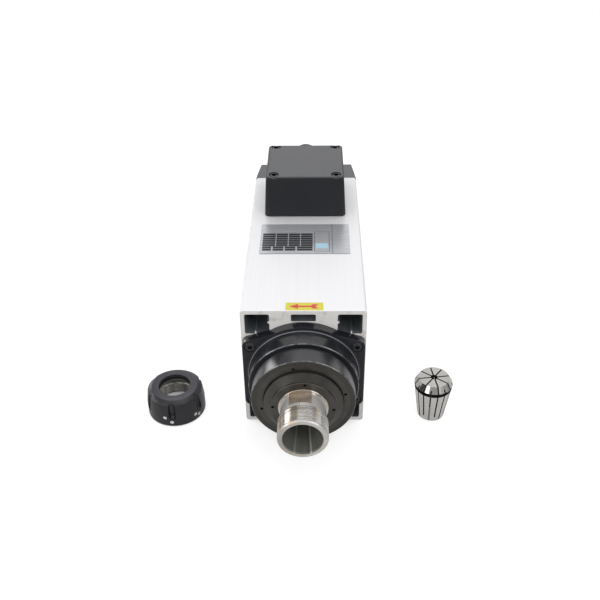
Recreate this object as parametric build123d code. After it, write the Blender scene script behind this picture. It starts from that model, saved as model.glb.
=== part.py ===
"""Air-cooled motor spindle with its collet nut and spring collet, in millimetres.

The origin is the centre of the motor body's bottom mounting face.  +X is to the right, +Y runs
back along the spindle towards the fan cover, and +Z is up.  The nose points along -Y.
"""

from build123d import *
from math import cos, pi, radians, sin, tan
import os

# ---------------------------------------------------------------- driving dimensions
# Extruded motor body
BODY_WIDTH = 103.0
BODY_HEIGHT = 120.0
BODY_LENGTH = 230.0
BODY_CORNER = 2.8
STATOR_BORE = 43.0            # radius of the bore that holds the stator
CHANNEL_INNER = 27.8          # corner air channels: nearer side, from the middle plane
CHANNEL_SIDE_WALL = 3.5
CHANNEL_TOP_WALL = 3.5
CHANNEL_DEPTH = 19.5
CHANNEL_CORNER = 1.6
TOOTH_HEIGHT = 1.8            # pointed rib on each channel's inner wall
TOOTH_WIDTH = 3.2
TOOTH_UP = 48.5               # height of that rib above the spindle axis
FIN_ACROSS = 39.2             # thin cooling fin on each channel's floor
FIN_HEIGHT = 2.6
FIN_THICK = 1.2
SLOT_HALF_WIDTH = 10.1        # shallow closed slot in the top and the bottom wall
SLOT_DEPTH = 6.9
SLOT_CORNER = 1.0

# Mounting threads in the bottom, tapped into the solid webs beside the slot
MOUNT_DRILL = 3.4             # radius, tapping size for M8
MOUNT_DEPTH = 14.0
MOUNT_ACROSS = 38.0
MOUNT_ALONG = 160.0

# Screws: thread diameters and lengths
FLANGE_SCREW = 5.0
FLANGE_SCREW_LENGTH = 16.0
PLATE_SCREW_LENGTH = 20.0
SMALL_SCREW = 4.0
THREAD_CLEARANCE = 0.05       # radial, between a plain shank and its tapped hole
SCREW_HOLE_CLEARANCE = 0.3    # radial, round a shank in a drilled hole
SCREW_END_GAP = 1.0           # left below a screw's tip in a blind hole
CAP_HEAD_RATIO = 0.85         # head radius of a cap screw over its thread diameter
CAP_SOCKET_RATIO = 0.46       # hexagon socket's corner radius over the thread diameter
SUNK_SOCKET_RATIO = 0.36      # the same in a countersunk screw
TAP_OVERRUN = 2.0

# Front bearing housing: bolted flange and stepped boss
FLANGE_THICK = 8.0
FLANGE_RADIUS = 49.0
EAR_ACROSS = 50.5             # half width over the ears
EAR_UP = 33.6                 # height of the ear's corner above the axis
EAR_ROOT_ACROSS = 26.6
EAR_CORNER = 6.0
FLANGE_SCREW_ACROSS = 43.9    # screw places from the axis
FLANGE_SCREW_UP = 28.7
COUNTERBORE_CLEARANCE = 0.5
BOSS_RADIUS = 45.5
BOSS_REACH = 23.9             # reaches are measured ahead of the motor body's front face
BOSS_FILLET = 2.5
GROOVE_RADIUS = 41.8
GROOVE_WIDTH = 0.7
NOSE_RADIUS = 42.4
NOSE_REACH = 41.5
EDGE_BREAK = 0.6
SPIGOT_LENGTH = 6.0
SPIGOT_CLEARANCE = 0.05

# Bearing lock ring and labyrinth disc at the nose
LOCK_RING_RADIUS = 38.1
LOCK_RING_BORE = 32.7
LOCK_RING_LIP = 28.5          # radius of the lip that presses on the bearing
LOCK_RING_LIP_THICK = 2.0
SPANNER_HOLE = 1.25           # radius
SPANNER_HOLE_DEPTH = 2.5
LOCK_RING_HOLE_PLACE = 34.6
LOCK_RING_HOLE_TURN = 12.8
DISC_GAP = 0.45               # labyrinth gap, radial and axial
DISC_CYLINDER_REACH = 44.0
DISC_CAP_RADIUS = 26.5
DISC_CONE_REACH = 47.0
DISC_CAP_REACH = 49.5
DISC_HOLE_PLACE = 24.4
DISC_HOLE_TURN = -3.4
DISC_HUB_WALL = 3.5           # of the hub that presses on the inner race

# Bearings: bore radius, outer radius and width
FRONT_BEARING_BORE = 17.5
FRONT_BEARING_OUTER = 31.0
FRONT_BEARING_WIDTH = 14.0
BEARING_SPACER = 2.5
RACE_SHARE = 0.32             # one race's share of the height between bore and outside
BEARING_FRONT_REACH = 36.2
REAR_BEARING_BORE = 12.5
REAR_BEARING_OUTER = 26.0
REAR_BEARING_WIDTH = 15.0
CAGE_GAP = 0.35               # running gap between a ball cage and either race
CAGE_SHORTER = 1.5            # how far a cage stands back from each side of its bearing
SEAT_CLEARANCE = 0.02         # radial, between pieces pressed or slid together in one body
RUNNING_GAP = 0.4             # between the rotor and anything that stands still

# Spindle shaft
COLLAR_RADIUS = 20.2
COLLAR_BACK_REACH = 47.0
COLLAR_FRONT_REACH = 49.8
NECK_RADIUS = 18.4
NECK_REACH = 65.5
FLATS_ACROSS = 32.0
FLATS_LENGTH = 12.0
FLATS_TURN = 8.0
THREAD_RADIUS = 20.0
THREAD_CHAMFER = 1.1
THREAD_RUNOUT = 0.9
MOUTH_REACH = 84.0
SOCKET_MOUTH = 16.0           # radius at the mouth
SOCKET_ANGLE = 8.0
SOCKET_DEPTH = 40.0
SOCKET_RELIEF_DEPTH = 10.0
SOCKET_CONE_DEPTH = 6.0
LOCKNUT_RADIUS = 25.0
LOCKNUT_WIDTH = 9.0
LOCKNUT_SLOT = 5.0
LOCKNUT_SLOT_DEPTH = 2.2
LOCKNUT_ROOM = 2.0            # radial, round the locknut inside the bearing housing
ROTOR_SEAT = 16.5
TAIL_SEAT = 9.0               # radius of the fan's seat
SHAFT_SHOULDER = 15.0

# Rotor and stator
ROTOR_RADIUS = 24.0
STACK_FRONT = 45.0            # behind the body's front face
STACK_REAR = 65.0             # ahead of its rear face
END_RING_WIDTH = 7.0
END_RING_BORE = 17.2
WINDING_LENGTH = 24.0
WINDING_INNER = 28.0
WINDING_OUTER = 41.0
WINDING_CHAMFER = 3.5

# Rear end plate
PLATE_THICK = 8.0
PLATE_INSET = 3.6             # the plate's ears stand this far inside the body's sides
PLATE_EAR_STEP = 0.9          # from the plate's disc out to its ears
PLATE_SCREW_INSET = 9.0       # of its screws, from the body's sides
PLATE_BOSS_RADIUS = 34.0
PLATE_BOSS_LENGTH = 15.0
PLATE_WALL = 3.0              # wall behind the rear bearing
PLATE_HOLE = 14.0
SPRING_THICK = 0.8
SPRING_RISE = 1.3
SPRING_BORE = 19.0

# Fan and its cover
FAN_RADIUS = 39.0
FAN_GAP = 1.4                 # between the end plate and the fan
FAN_HUB_RADIUS = 15.0
FAN_LENGTH = 16.0
FAN_BLADES = 9
FAN_BLADE_THICK = 1.8
FAN_PITCH = 38.0
FAN_BLADE_ROOT = 1.0          # how far each blade goes into the hub
CLIP_RADIUS = 11.5
CLIP_THICK = 1.2
SHAFT_END_SPARE = 2.0
COVER_LENGTH = 40.0
COVER_DRAFT = 5.6             # degrees
COVER_WALL = 2.5
COVER_CORNER = 1.4
COVER_INNER_CORNER = 0.5
COVER_REAR_ROUND = 3.0
COVER_POST_INWARD = 8.5       # from a plate screw in to the post beside it
COVER_POST_RISE = 5.3         # and from its height to the post's
COVER_POST_RADIUS = 4.2
GRILLE_FIRST = 8.0            # inner radius of the first ring of openings
GRILLE_RINGS = 5
GRILLE_OPEN = 4.0
GRILLE_BAR = 3.0
GRILLE_SPOKE = 4.0
COVER_HEAD_RECESS = 1.5

# Terminal box
BOX_WIDTH = 77.0
BOX_DEPTH = 73.6
BOX_HEIGHT = 41.0             # from the motor body to the cover's top
BOX_SETBACK = 5.8             # ahead of the body's rear face
BOX_CORNER = 5.0
BOX_DRAFT = 3.2               # degrees
BOX_TOP_ROUND = 3.0
BOX_WALL = 3.0
SKIRT_LIFT = 0.6              # the cover's lower edge above the motor body
SKIRT_WALL = 1.4              # of the cover's skirt round the base
SKIRT_GAP = 0.3               # between the skirt and the base
BASE_HEIGHT = 3.5
BASE_FLOOR = 2.5
GASKET_THICK = 0.8
GASKET_INSET = 0.1            # the gasket's edge inside the base's
WELL_SIDE_INSET = 9.5         # screw places inside the box's sides
WELL_END_INSET = 7.5          # and inside its front and rear walls
WELL_RADIUS = 4.5             # counterbore round a cover screw's head
WELL_HEAD_DROP = 0.5          # the head's top below the cover's
POST_RADIUS = 6.2
BASE_BOSS_RADIUS = 3.8
BASE_BOSS_HEIGHT = 9.0
BASE_SCREW_SIDE_INSET = 19.5
BASE_SCREW_END_INSET = 10.8
BASE_SCREW_DEPTH = 8.0
LEAD_HOLE = 7.0
LEAD_HOLE_ALONG = -12.0       # from the box's middle
BOARD_WIDTH = 48.0
BOARD_DEPTH = 18.0
BOARD_HEIGHT = 8.0
BOARD_ALONG = 8.0
BOARD_RIB = 1.6
BOARD_RIB_HEIGHT = 6.0
STUD_PITCH = 12.0
STUD_RADIUS = 2.0
STUD_LENGTH = 14.0
NUT_ACROSS = 7.0
NUT_THICK = 3.2
LEAD_RADIUS = 1.3
LEAD_PITCH = 4.0
LEAD_HEIGHT = 4.0             # of the leads' entry, above the base's floor
LEAD_BEND = 4.0
EARTH_ACROSS = 23.0

# Cable gland in the box's rear wall
GLAND_HEIGHT = 23.5           # above the motor body
GLAND_PAD_RADIUS = 13.4
GLAND_ROOM = 2.0              # radial, cleared round the pad inside the cover
GLAND_HEX = 23.0              # across flats
GLAND_HEX_THICK = 4.5
GLAND_THREAD = 9.9            # radius
GLAND_STUB = 8.0              # length of the thread inside the wall
GLAND_LOCKNUT_THICK = 3.5
GLAND_CAP_RADIUS = 11.5
GLAND_CAP_LENGTH = 9.5
GLAND_CAP_ROUND = 2.5
GLAND_SEAL_RADIUS = 8.0
GLAND_BORE = 5.0
GLAND_SEAL_LENGTH = 7.0
GLAND_LIP = 1.5

# Collet nut, standing thread side down beside the spindle
NUT_X = -115.4
NUT_Y = 16.2                  # behind the body's front face
NUT_RADIUS = 25.5
NUT_HEIGHT = 26.5
NUT_FOOT_CHAMFER = 1.1
NUT_STRAIGHT = 13.0           # height of the straight part
NUT_SHOULDER_RADIUS = 24.1
NUT_SHOULDER_HEIGHT = 23.4
NUT_FACE_RADIUS = 20.3
NUT_MOUTH = 13.9
NUT_THREAD_RADIUS = 19.25
NUT_THREAD_LENGTH = 11.0
NUT_THREAD_CHAMFER = 1.2
NUT_RELIEF_RADIUS = 20.6
NUT_RELIEF = 2.0
NUT_LIP = 3.2
NUT_CAVITY = 18.6
NUT_SLOTS = 6
NUT_SLOT_RADIUS = 3.1
NUT_SLOT_FLOOR = 6.9
NUT_SLOT_DEPTH = 3.4
NUT_SLOT_TURN = -90.0
BALANCE_DRILL = 1.7
BALANCE_DRILL_DEPTH = 2.2
BALANCE_PLACES = ((-105.6, 9.6), (-91.9, 5.8), (-41.0, 7.0), (-31.5, 4.7))
NUT_RING_HEIGHT = 7.0
NUT_RING_CLEARANCE = 0.3
NUT_RING_MOUTH = 13.5
NUT_RING_ANGLE = 30.0
WASHER_THICK = 1.2
WASHER_BORE = 16.0

# Spring collet, standing on its small end beside the spindle
COLLET_X = 112.6
COLLET_Y = 10.3               # behind the body's front face
COLLET_HEIGHT = 41.0
COLLET_HEAD_RADIUS = 16.5
COLLET_FACE_RADIUS = 13.25
COLLET_FACE_ANGLE = 30.0
COLLET_HEAD_LAND = 0.6
COLLET_GROOVE = 2.8
COLLET_GROOVE_RADIUS = 14.1
COLLET_BODY_RADIUS = 16.2     # where the long taper meets the groove
COLLET_FOOT_CHAMFER = 0.6
COLLET_BORE = 3.0
COLLET_GRIP = 22.0            # length of the gripping bore, from the face
COLLET_RELIEF = 6.5           # radius of the wider rear bore
COLLET_SLITS = 8              # from each end
COLLET_SLIT = 0.7
COLLET_SLIT_STOP = 5.0        # metal left below a front slit
COLLET_REAR_SLIT_STOP = 3.0   # metal left above a rear slit
COLLET_SLIT_TURN = -82.2

# ---------------------------------------------------------------- derived places
AXIS_UP = BODY_HEIGHT / 2
FRONT = -BODY_LENGTH / 2
REAR = BODY_LENGTH / 2
TOP = BODY_HEIGHT
SPINDLE_AXIS = Axis((0, 0, AXIS_UP), (0, 1, 0))
FORWARD = Rot(90, 0, 0)       # turns a piece built along +Z to point along -Y
BACKWARD = Rot(-90, 0, 0)     # turns a piece built along +Z to point along +Y
SIDES = (-1, 1)
CORNERS = [(across, up) for across in SIDES for up in SIDES]
PLATE_EAR_ACROSS = BODY_WIDTH / 2 - PLATE_INSET
PLATE_RADIUS = PLATE_EAR_ACROSS - PLATE_EAR_STEP
PLATE_SCREW_ACROSS = BODY_WIDTH / 2 - PLATE_SCREW_INSET
COVER_POST_ACROSS = PLATE_SCREW_ACROSS - COVER_POST_INWARD
COVER_POST_UP = FLANGE_SCREW_UP + COVER_POST_RISE
BOX_Y = REAR - BOX_SETBACK - BOX_DEPTH / 2
WELL_ACROSS = BOX_WIDTH / 2 - WELL_SIDE_INSET
WELL_ALONG = BOX_DEPTH / 2 - WELL_END_INSET
WELL_DEPTH = WELL_HEAD_DROP + SMALL_SCREW
BASE_SCREW_ACROSS = BOX_WIDTH / 2 - BASE_SCREW_SIDE_INSET
BASE_SCREW_ALONG = BOX_DEPTH / 2 - BASE_SCREW_END_INSET

os.makedirs("parts", exist_ok=True)


def save(name, *solids):
    """Write one sub-part, made of one solid or of several alike, to its own STEP file."""
    pieces = [piece for shape in solids for piece in shape.solids()]
    part = pieces[0] if len(pieces) == 1 else Compound(children=pieces)
    part.label = name
    export_step(part, f"parts/{name}.step")


def ahead(reach):
    """Place along Y that is a given reach ahead of the body's front face."""
    return FRONT - reach


def turned(outline):
    """Turn an outline of (radius, y) points about the spindle axis."""
    section = Polygon(*[(y, AXIS_UP + radius) for radius, y in outline], align=None)
    return revolve(Plane.YZ * section, SPINDLE_AXIS)


def turned_upright(outline, x, y):
    """Turn an outline of (radius, height) points about a vertical axis at x, y."""
    section = Polygon(*outline, align=None)
    return Pos(x, y, 0) * revolve(Plane.XZ * section, Axis.Z)


def sleeve(inner, outer, start, end):
    """A plain ring about the spindle axis between two places along Y."""
    return turned([(inner, start), (outer, start), (outer, end), (inner, end)])


def rod(radius, height):
    """A round bar that stands on its base at the origin."""
    return Cylinder(radius, height, align=(Align.CENTER, Align.CENTER, Align.MIN))


def prism(sketch, start, end):
    """An X-Z sketch made solid between two places along Y."""
    placed = Plane((0, end, 0), x_dir=(1, 0, 0), z_dir=(0, -1, 0)) * sketch
    return extrude(placed, end - start, dir=(0, -1, 0))


def cap_screw(diameter, length):
    """Socket cap screw along Z: the underside of its head is at 0 and its tip at -length."""
    shank = Pos(0, 0, -length) * rod(diameter / 2, length)
    head = chamfer(rod(head_radius(diameter), diameter).edges().group_by(Axis.Z)[-1], diameter / 12)
    socket = extrude(RegularPolygon(diameter * CAP_SOCKET_RATIO, 6), diameter / 2)
    return head + shank - Pos(0, 0, diameter / 2) * socket


def head_radius(diameter):
    """Head radius of a socket cap screw."""
    return diameter * CAP_HEAD_RATIO


def countersunk_screw(diameter, length):
    """Countersunk screw along Z with the top of its head at 0."""
    head = Pos(0, 0, -diameter / 2) * Cone(diameter / 2, diameter, diameter / 2,
                                           align=(Align.CENTER, Align.CENTER, Align.MIN))
    shank = Pos(0, 0, -length) * rod(diameter / 2, length)
    socket = extrude(RegularPolygon(diameter * SUNK_SOCKET_RATIO, 6), diameter / 4)
    return head + shank - Pos(0, 0, -diameter / 4) * socket


def at_corners(shape, across, up, y):
    """Four copies of a shape about the spindle axis, at the corners of a rectangle."""
    return [Pos(side * across, y, AXIS_UP + rise * up) * shape for side, rise in CORNERS]


# ---------------------------------------------------------------- motor body
def channel_sketch():
    """One corner air channel, for the upper right corner, measured from the spindle axis."""
    side = BODY_WIDTH / 2 - CHANNEL_SIDE_WALL
    roof = BODY_HEIGHT / 2 - CHANNEL_TOP_WALL
    floor = roof - CHANNEL_DEPTH
    outline = Polygon((CHANNEL_INNER, floor), (side, floor), (side, roof), (CHANNEL_INNER, roof),
                      align=None)
    outline = fillet(outline.vertices(), CHANNEL_CORNER)
    tooth = Polygon((CHANNEL_INNER, TOOTH_UP - TOOTH_WIDTH / 2),
                    (CHANNEL_INNER + TOOTH_HEIGHT, TOOTH_UP),
                    (CHANNEL_INNER, TOOTH_UP + TOOTH_WIDTH / 2), align=None)
    fin = Pos(FIN_ACROSS, floor + FIN_HEIGHT / 2) * Rectangle(FIN_THICK, FIN_HEIGHT)
    return outline - tooth - fin


def channels():
    """All four corner air channels."""
    right_top = channel_sketch()
    right = right_top + mirror(right_top, Plane.XZ)
    return Pos(0, AXIS_UP) * (right + mirror(right, Plane.YZ))


def body_section():
    """Section of the extrusion, in X and Z."""
    section = Pos(0, AXIS_UP) * RectangleRounded(BODY_WIDTH, BODY_HEIGHT, BODY_CORNER)
    section -= Pos(0, AXIS_UP) * Circle(STATOR_BORE)
    slot_middle = BODY_HEIGHT / 2 - CHANNEL_TOP_WALL - SLOT_DEPTH / 2
    for side in SIDES:
        section -= Pos(0, AXIS_UP + side * slot_middle) * RectangleRounded(
            2 * SLOT_HALF_WIDTH, SLOT_DEPTH, SLOT_CORNER)
    return section - channels()


def tapped_end_holes(length, across, y, turn):
    """The four screw holes in one end of the motor body."""
    hole = turn * Pos(0, 0, -length) * rod(FLANGE_SCREW / 2 + THREAD_CLEARANCE, length)
    return at_corners(hole, across, FLANGE_SCREW_UP, y)


def motor_housing():
    """Square aluminium extrusion, cut to length, bored and drilled."""
    body = prism(body_section(), FRONT, REAR)
    front_depth = FLANGE_SCREW_LENGTH - FLANGE_THICK + FLANGE_SCREW + TAP_OVERRUN
    rear_depth = PLATE_SCREW_LENGTH - PLATE_THICK + TAP_OVERRUN
    body -= tapped_end_holes(front_depth, FLANGE_SCREW_ACROSS, FRONT, FORWARD)
    body -= tapped_end_holes(rear_depth, PLATE_SCREW_ACROSS, REAR, BACKWARD)
    for across in SIDES:
        for along in SIDES:
            place = (across * MOUNT_ACROSS / 2, along * MOUNT_ALONG / 2, 0)
            body -= Pos(*place) * rod(MOUNT_DRILL, MOUNT_DEPTH)
            place = (across * BASE_SCREW_ACROSS, BOX_Y + along * BASE_SCREW_ALONG, TOP - BASE_SCREW_DEPTH)
            body -= Pos(*place) * rod(SMALL_SCREW / 2 + THREAD_CLEARANCE, BASE_SCREW_DEPTH)
    earth = Pos(EARTH_ACROSS, BOX_Y + LEAD_HOLE_ALONG, TOP - BASE_SCREW_DEPTH)
    body -= earth * rod(SMALL_SCREW / 2 + THREAD_CLEARANCE, BASE_SCREW_DEPTH)
    return body - Pos(0, BOX_Y + LEAD_HOLE_ALONG, AXIS_UP) * rod(LEAD_HOLE, AXIS_UP)


# ---------------------------------------------------------------- front bearing housing
def flange_sketch(radius, ear_across):
    """Disc with two pairs of ears, in X and Z."""
    root_up = (radius ** 2 - EAR_ROOT_ACROSS ** 2) ** 0.5
    quarter = [(EAR_ROOT_ACROSS, root_up), (ear_across, EAR_UP)]
    right = quarter + [(x, -z) for x, z in reversed(quarter)]
    outline = Polygon(*right, *[(-x, z) for x, z in reversed(right)], align=None)
    corners = [v for v in outline.vertices() if abs(abs(v.X) - ear_across) < 0.01]
    return Pos(0, AXIS_UP) * (fillet(corners, EAR_CORNER) + Circle(radius))


def front_bearing_housing():
    """Black flange whose stepped boss holds the front pair of bearings."""
    recess = BEARING_FRONT_REACH
    inner = FRONT_BEARING_OUTER + SEAT_CLEARANCE
    back = BEARING_FRONT_REACH - 2 * FRONT_BEARING_WIDTH - BEARING_SPACER
    shoulder = LOCKNUT_RADIUS + LOCKNUT_ROOM
    spigot = STATOR_BORE - SPIGOT_CLEARANCE
    reach = [
        (shoulder, -SPIGOT_LENGTH), (spigot - EDGE_BREAK, -SPIGOT_LENGTH),
        (spigot, -SPIGOT_LENGTH + EDGE_BREAK), (spigot, 0), (FLANGE_RADIUS, 0),
        (FLANGE_RADIUS, FLANGE_THICK), (BOSS_RADIUS, FLANGE_THICK),
        (BOSS_RADIUS, BOSS_REACH - EDGE_BREAK), (BOSS_RADIUS - EDGE_BREAK, BOSS_REACH),
        (GROOVE_RADIUS, BOSS_REACH), (GROOVE_RADIUS, BOSS_REACH + GROOVE_WIDTH),
        (NOSE_RADIUS, BOSS_REACH + GROOVE_WIDTH), (NOSE_RADIUS, NOSE_REACH - EDGE_BREAK),
        (NOSE_RADIUS - EDGE_BREAK, NOSE_REACH), (LOCK_RING_RADIUS, NOSE_REACH),
        (LOCK_RING_RADIUS, recess), (inner, recess), (inner, back), (shoulder, back),
    ]
    section = Polygon(*[(ahead(s), AXIS_UP + radius) for radius, s in reach], align=None)
    root = section.vertices().sort_by_distance((ahead(FLANGE_THICK), AXIS_UP + BOSS_RADIUS, 0))[0]
    body = revolve(Plane.YZ * fillet(root, BOSS_FILLET), SPINDLE_AXIS)
    ears = prism(flange_sketch(FLANGE_RADIUS, EAR_ACROSS), ahead(FLANGE_THICK), FRONT)
    ears = chamfer(ears.faces().sort_by(Axis.Y)[0].outer_wire().edges(), EDGE_BREAK)
    body += ears - sleeve(0, BOSS_RADIUS - BOSS_FILLET, ahead(FLANGE_THICK), FRONT)
    bore = FORWARD * rod(FLANGE_SCREW / 2 + SCREW_HOLE_CLEARANCE, FLANGE_THICK)
    head = FORWARD * rod(head_radius(FLANGE_SCREW) + COUNTERBORE_CLEARANCE, FLANGE_SCREW)
    body -= at_corners(bore, FLANGE_SCREW_ACROSS, FLANGE_SCREW_UP, FRONT)
    return body - at_corners(head, FLANGE_SCREW_ACROSS, FLANGE_SCREW_UP,
                             ahead(FLANGE_THICK - FLANGE_SCREW))


def flange_screws():
    """Four socket cap screws, their heads sunk flush in the flange's ears."""
    screw = FORWARD * cap_screw(FLANGE_SCREW, FLANGE_SCREW_LENGTH)
    return at_corners(screw, FLANGE_SCREW_ACROSS, FLANGE_SCREW_UP, ahead(FLANGE_THICK - FLANGE_SCREW))


def face_holes(count, place, turn, reach):
    """Blind spanner holes drilled back from a turned face."""
    hole = BACKWARD * rod(SPANNER_HOLE, SPANNER_HOLE_DEPTH)
    holes = []
    for k in range(count):
        angle = radians(turn + 360 * k / count)
        holes.append(Pos(place * cos(angle), ahead(reach), AXIS_UP + place * sin(angle)) * hole)
    return holes


def bearing_lock_ring():
    """Threaded ring that holds the front bearings in; its lip presses on their outer races."""
    lip = BEARING_FRONT_REACH + LOCK_RING_LIP_THICK
    outer = LOCK_RING_RADIUS - THREAD_CLEARANCE
    ring = turned([
        (LOCK_RING_LIP, ahead(BEARING_FRONT_REACH)), (outer, ahead(BEARING_FRONT_REACH)),
        (outer, ahead(NOSE_REACH)), (LOCK_RING_BORE, ahead(NOSE_REACH)),
        (LOCK_RING_BORE, ahead(lip)), (LOCK_RING_LIP, ahead(lip)),
    ])
    return ring - face_holes(4, LOCK_RING_HOLE_PLACE, LOCK_RING_HOLE_TURN, NOSE_REACH)


def race_pair(bore, outer, width, start):
    """Inner and outer race of one bearing that begins at a place along Y."""
    height = outer - bore
    inner = sleeve(bore + SEAT_CLEARANCE, bore + RACE_SHARE * height, start, start + width)
    rim = sleeve(outer - RACE_SHARE * height, outer, start, start + width)
    return inner, rim


def ball_cage(bore, outer, width, start):
    """Cage with its balls, as one ring that runs between the races."""
    height = outer - bore
    low = bore + RACE_SHARE * height + CAGE_GAP
    high = outer - RACE_SHARE * height - CAGE_GAP
    return sleeve(low, high, start + CAGE_SHORTER, start + width - CAGE_SHORTER)


def front_bearing_starts():
    """Where each front bearing begins along Y."""
    first = ahead(BEARING_FRONT_REACH)
    return first, first + FRONT_BEARING_WIDTH + BEARING_SPACER


# ---------------------------------------------------------------- spindle shaft and rotor
def rear_bearing_start():
    """Where the rear bearing begins along Y, inside the end plate."""
    return REAR + PLATE_THICK - PLATE_WALL - SPRING_THICK - SPRING_RISE - REAR_BEARING_WIDTH


def shaft_end():
    """Place along Y of the shaft's rear end, inside the fan cover."""
    return fan_start() + FAN_LENGTH + CLIP_THICK + SHAFT_END_SPARE


def fan_start():
    """Where the fan's hub begins along Y."""
    return REAR + PLATE_THICK + FAN_GAP


def spindle_shaft():
    """Hollow-nosed steel shaft: threaded mouth with a taper socket, neck with spanner flats."""
    locknut_back = ahead(BEARING_FRONT_REACH) + 2 * FRONT_BEARING_WIDTH + BEARING_SPACER + LOCKNUT_WIDTH
    rear = rear_bearing_start()
    seat_end = REAR - STACK_REAR + END_RING_WIDTH
    socket_root = SOCKET_MOUTH - SOCKET_DEPTH * tan(radians(SOCKET_ANGLE))
    relief = MOUTH_REACH - SOCKET_DEPTH - SOCKET_RELIEF_DEPTH
    shaft = turned([
        (0, shaft_end()), (TAIL_SEAT, shaft_end()), (TAIL_SEAT, fan_start()),
        (REAR_BEARING_BORE, fan_start()), (REAR_BEARING_BORE, rear),
        (SHAFT_SHOULDER, rear), (SHAFT_SHOULDER, seat_end), (ROTOR_SEAT, seat_end),
        (ROTOR_SEAT, locknut_back), (FRONT_BEARING_BORE, locknut_back),
        (FRONT_BEARING_BORE, ahead(COLLAR_BACK_REACH)), (COLLAR_RADIUS, ahead(COLLAR_BACK_REACH)),
        (COLLAR_RADIUS, ahead(COLLAR_FRONT_REACH)), (NECK_RADIUS, ahead(COLLAR_FRONT_REACH)),
        (NECK_RADIUS, ahead(NECK_REACH)), (THREAD_RADIUS, ahead(NECK_REACH + THREAD_RUNOUT)),
        (THREAD_RADIUS, ahead(MOUTH_REACH - THREAD_CHAMFER)),
        (THREAD_RADIUS - THREAD_CHAMFER, ahead(MOUTH_REACH)), (SOCKET_MOUTH, ahead(MOUTH_REACH)),
        (socket_root, ahead(MOUTH_REACH - SOCKET_DEPTH)), (socket_root, ahead(relief)),
        (0, ahead(relief - SOCKET_CONE_DEPTH)),
    ])
    flat = Pos(0, ahead(COLLAR_FRONT_REACH), FLATS_ACROSS / 2) * Box(
        2 * NECK_RADIUS, FLATS_LENGTH, NECK_RADIUS, align=(Align.CENTER, Align.MAX, Align.MIN))
    for turn in (0, 180):
        shaft -= Pos(0, 0, AXIS_UP) * Rot(0, turn - FLATS_TURN, 0) * flat
    return shaft


def labyrinth_disc():
    """Disc that turns with the shaft inside the lock ring and throws dust clear of the bearings."""
    rim = LOCK_RING_BORE - DISC_GAP
    hub = FRONT_BEARING_BORE + SEAT_CLEARANCE
    back = BEARING_FRONT_REACH + LOCK_RING_LIP_THICK + DISC_GAP
    foot = hub + DISC_HUB_WALL
    disc = turned([(radius, ahead(reach)) for radius, reach in (
        (hub, BEARING_FRONT_REACH), (foot, BEARING_FRONT_REACH), (foot, back), (rim, back),
        (rim, DISC_CYLINDER_REACH), (DISC_CAP_RADIUS, DISC_CONE_REACH),
        (DISC_CAP_RADIUS, DISC_CAP_REACH - EDGE_BREAK / 2),
        (DISC_CAP_RADIUS - EDGE_BREAK / 2, DISC_CAP_REACH),
        (COLLAR_RADIUS + SEAT_CLEARANCE, DISC_CAP_REACH),
        (COLLAR_RADIUS + SEAT_CLEARANCE, COLLAR_BACK_REACH), (hub, COLLAR_BACK_REACH))])
    return disc - face_holes(4, DISC_HOLE_PLACE, DISC_HOLE_TURN, DISC_CAP_REACH)


def shaft_locknut():
    """Slotted nut that draws the bearings against the labyrinth disc."""
    start = ahead(BEARING_FRONT_REACH) + 2 * FRONT_BEARING_WIDTH + BEARING_SPACER
    nut = sleeve(FRONT_BEARING_BORE + SEAT_CLEARANCE, LOCKNUT_RADIUS,
                 start, start + LOCKNUT_WIDTH)
    slot = Pos(0, start, LOCKNUT_RADIUS - LOCKNUT_SLOT_DEPTH) * Box(
        LOCKNUT_SLOT, LOCKNUT_WIDTH, 2 * LOCKNUT_SLOT_DEPTH, align=(Align.CENTER, Align.MIN, Align.MIN))
    for k in range(4):
        nut -= Pos(0, 0, AXIS_UP) * Rot(0, 90 * k, 0) * slot
    return nut


def stack_place():
    """Start and end of the lamination stack along Y."""
    return FRONT + STACK_FRONT, REAR - STACK_REAR


def rotor_core():
    """Rotor laminations pressed on the shaft."""
    return sleeve(ROTOR_SEAT + SEAT_CLEARANCE, ROTOR_RADIUS, *stack_place())


def rotor_end_rings():
    """Cast aluminium short-circuit rings, one at each end of the rotor core."""
    start, end = stack_place()
    return [sleeve(END_RING_BORE, ROTOR_RADIUS - EDGE_BREAK, start - END_RING_WIDTH, start),
            sleeve(END_RING_BORE, ROTOR_RADIUS - EDGE_BREAK, end, end + END_RING_WIDTH)]


def stator_core():
    """Stator laminations pressed in the motor body."""
    return sleeve(ROTOR_RADIUS + RUNNING_GAP, STATOR_BORE - SEAT_CLEARANCE, *stack_place())


def end_windings():
    """Taped and varnished winding overhang at each end of the stator."""
    start, end = stack_place()
    middle = (WINDING_INNER + WINDING_OUTER) / 2
    rings = []
    for place in (start - WINDING_LENGTH / 2, end + WINDING_LENGTH / 2):
        section = Pos(place, AXIS_UP + middle) * Rectangle(WINDING_LENGTH, WINDING_OUTER - WINDING_INNER)
        section = chamfer(section.vertices(), WINDING_CHAMFER)
        rings.append(revolve(Plane.YZ * section, SPINDLE_AXIS))
    return rings


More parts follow.
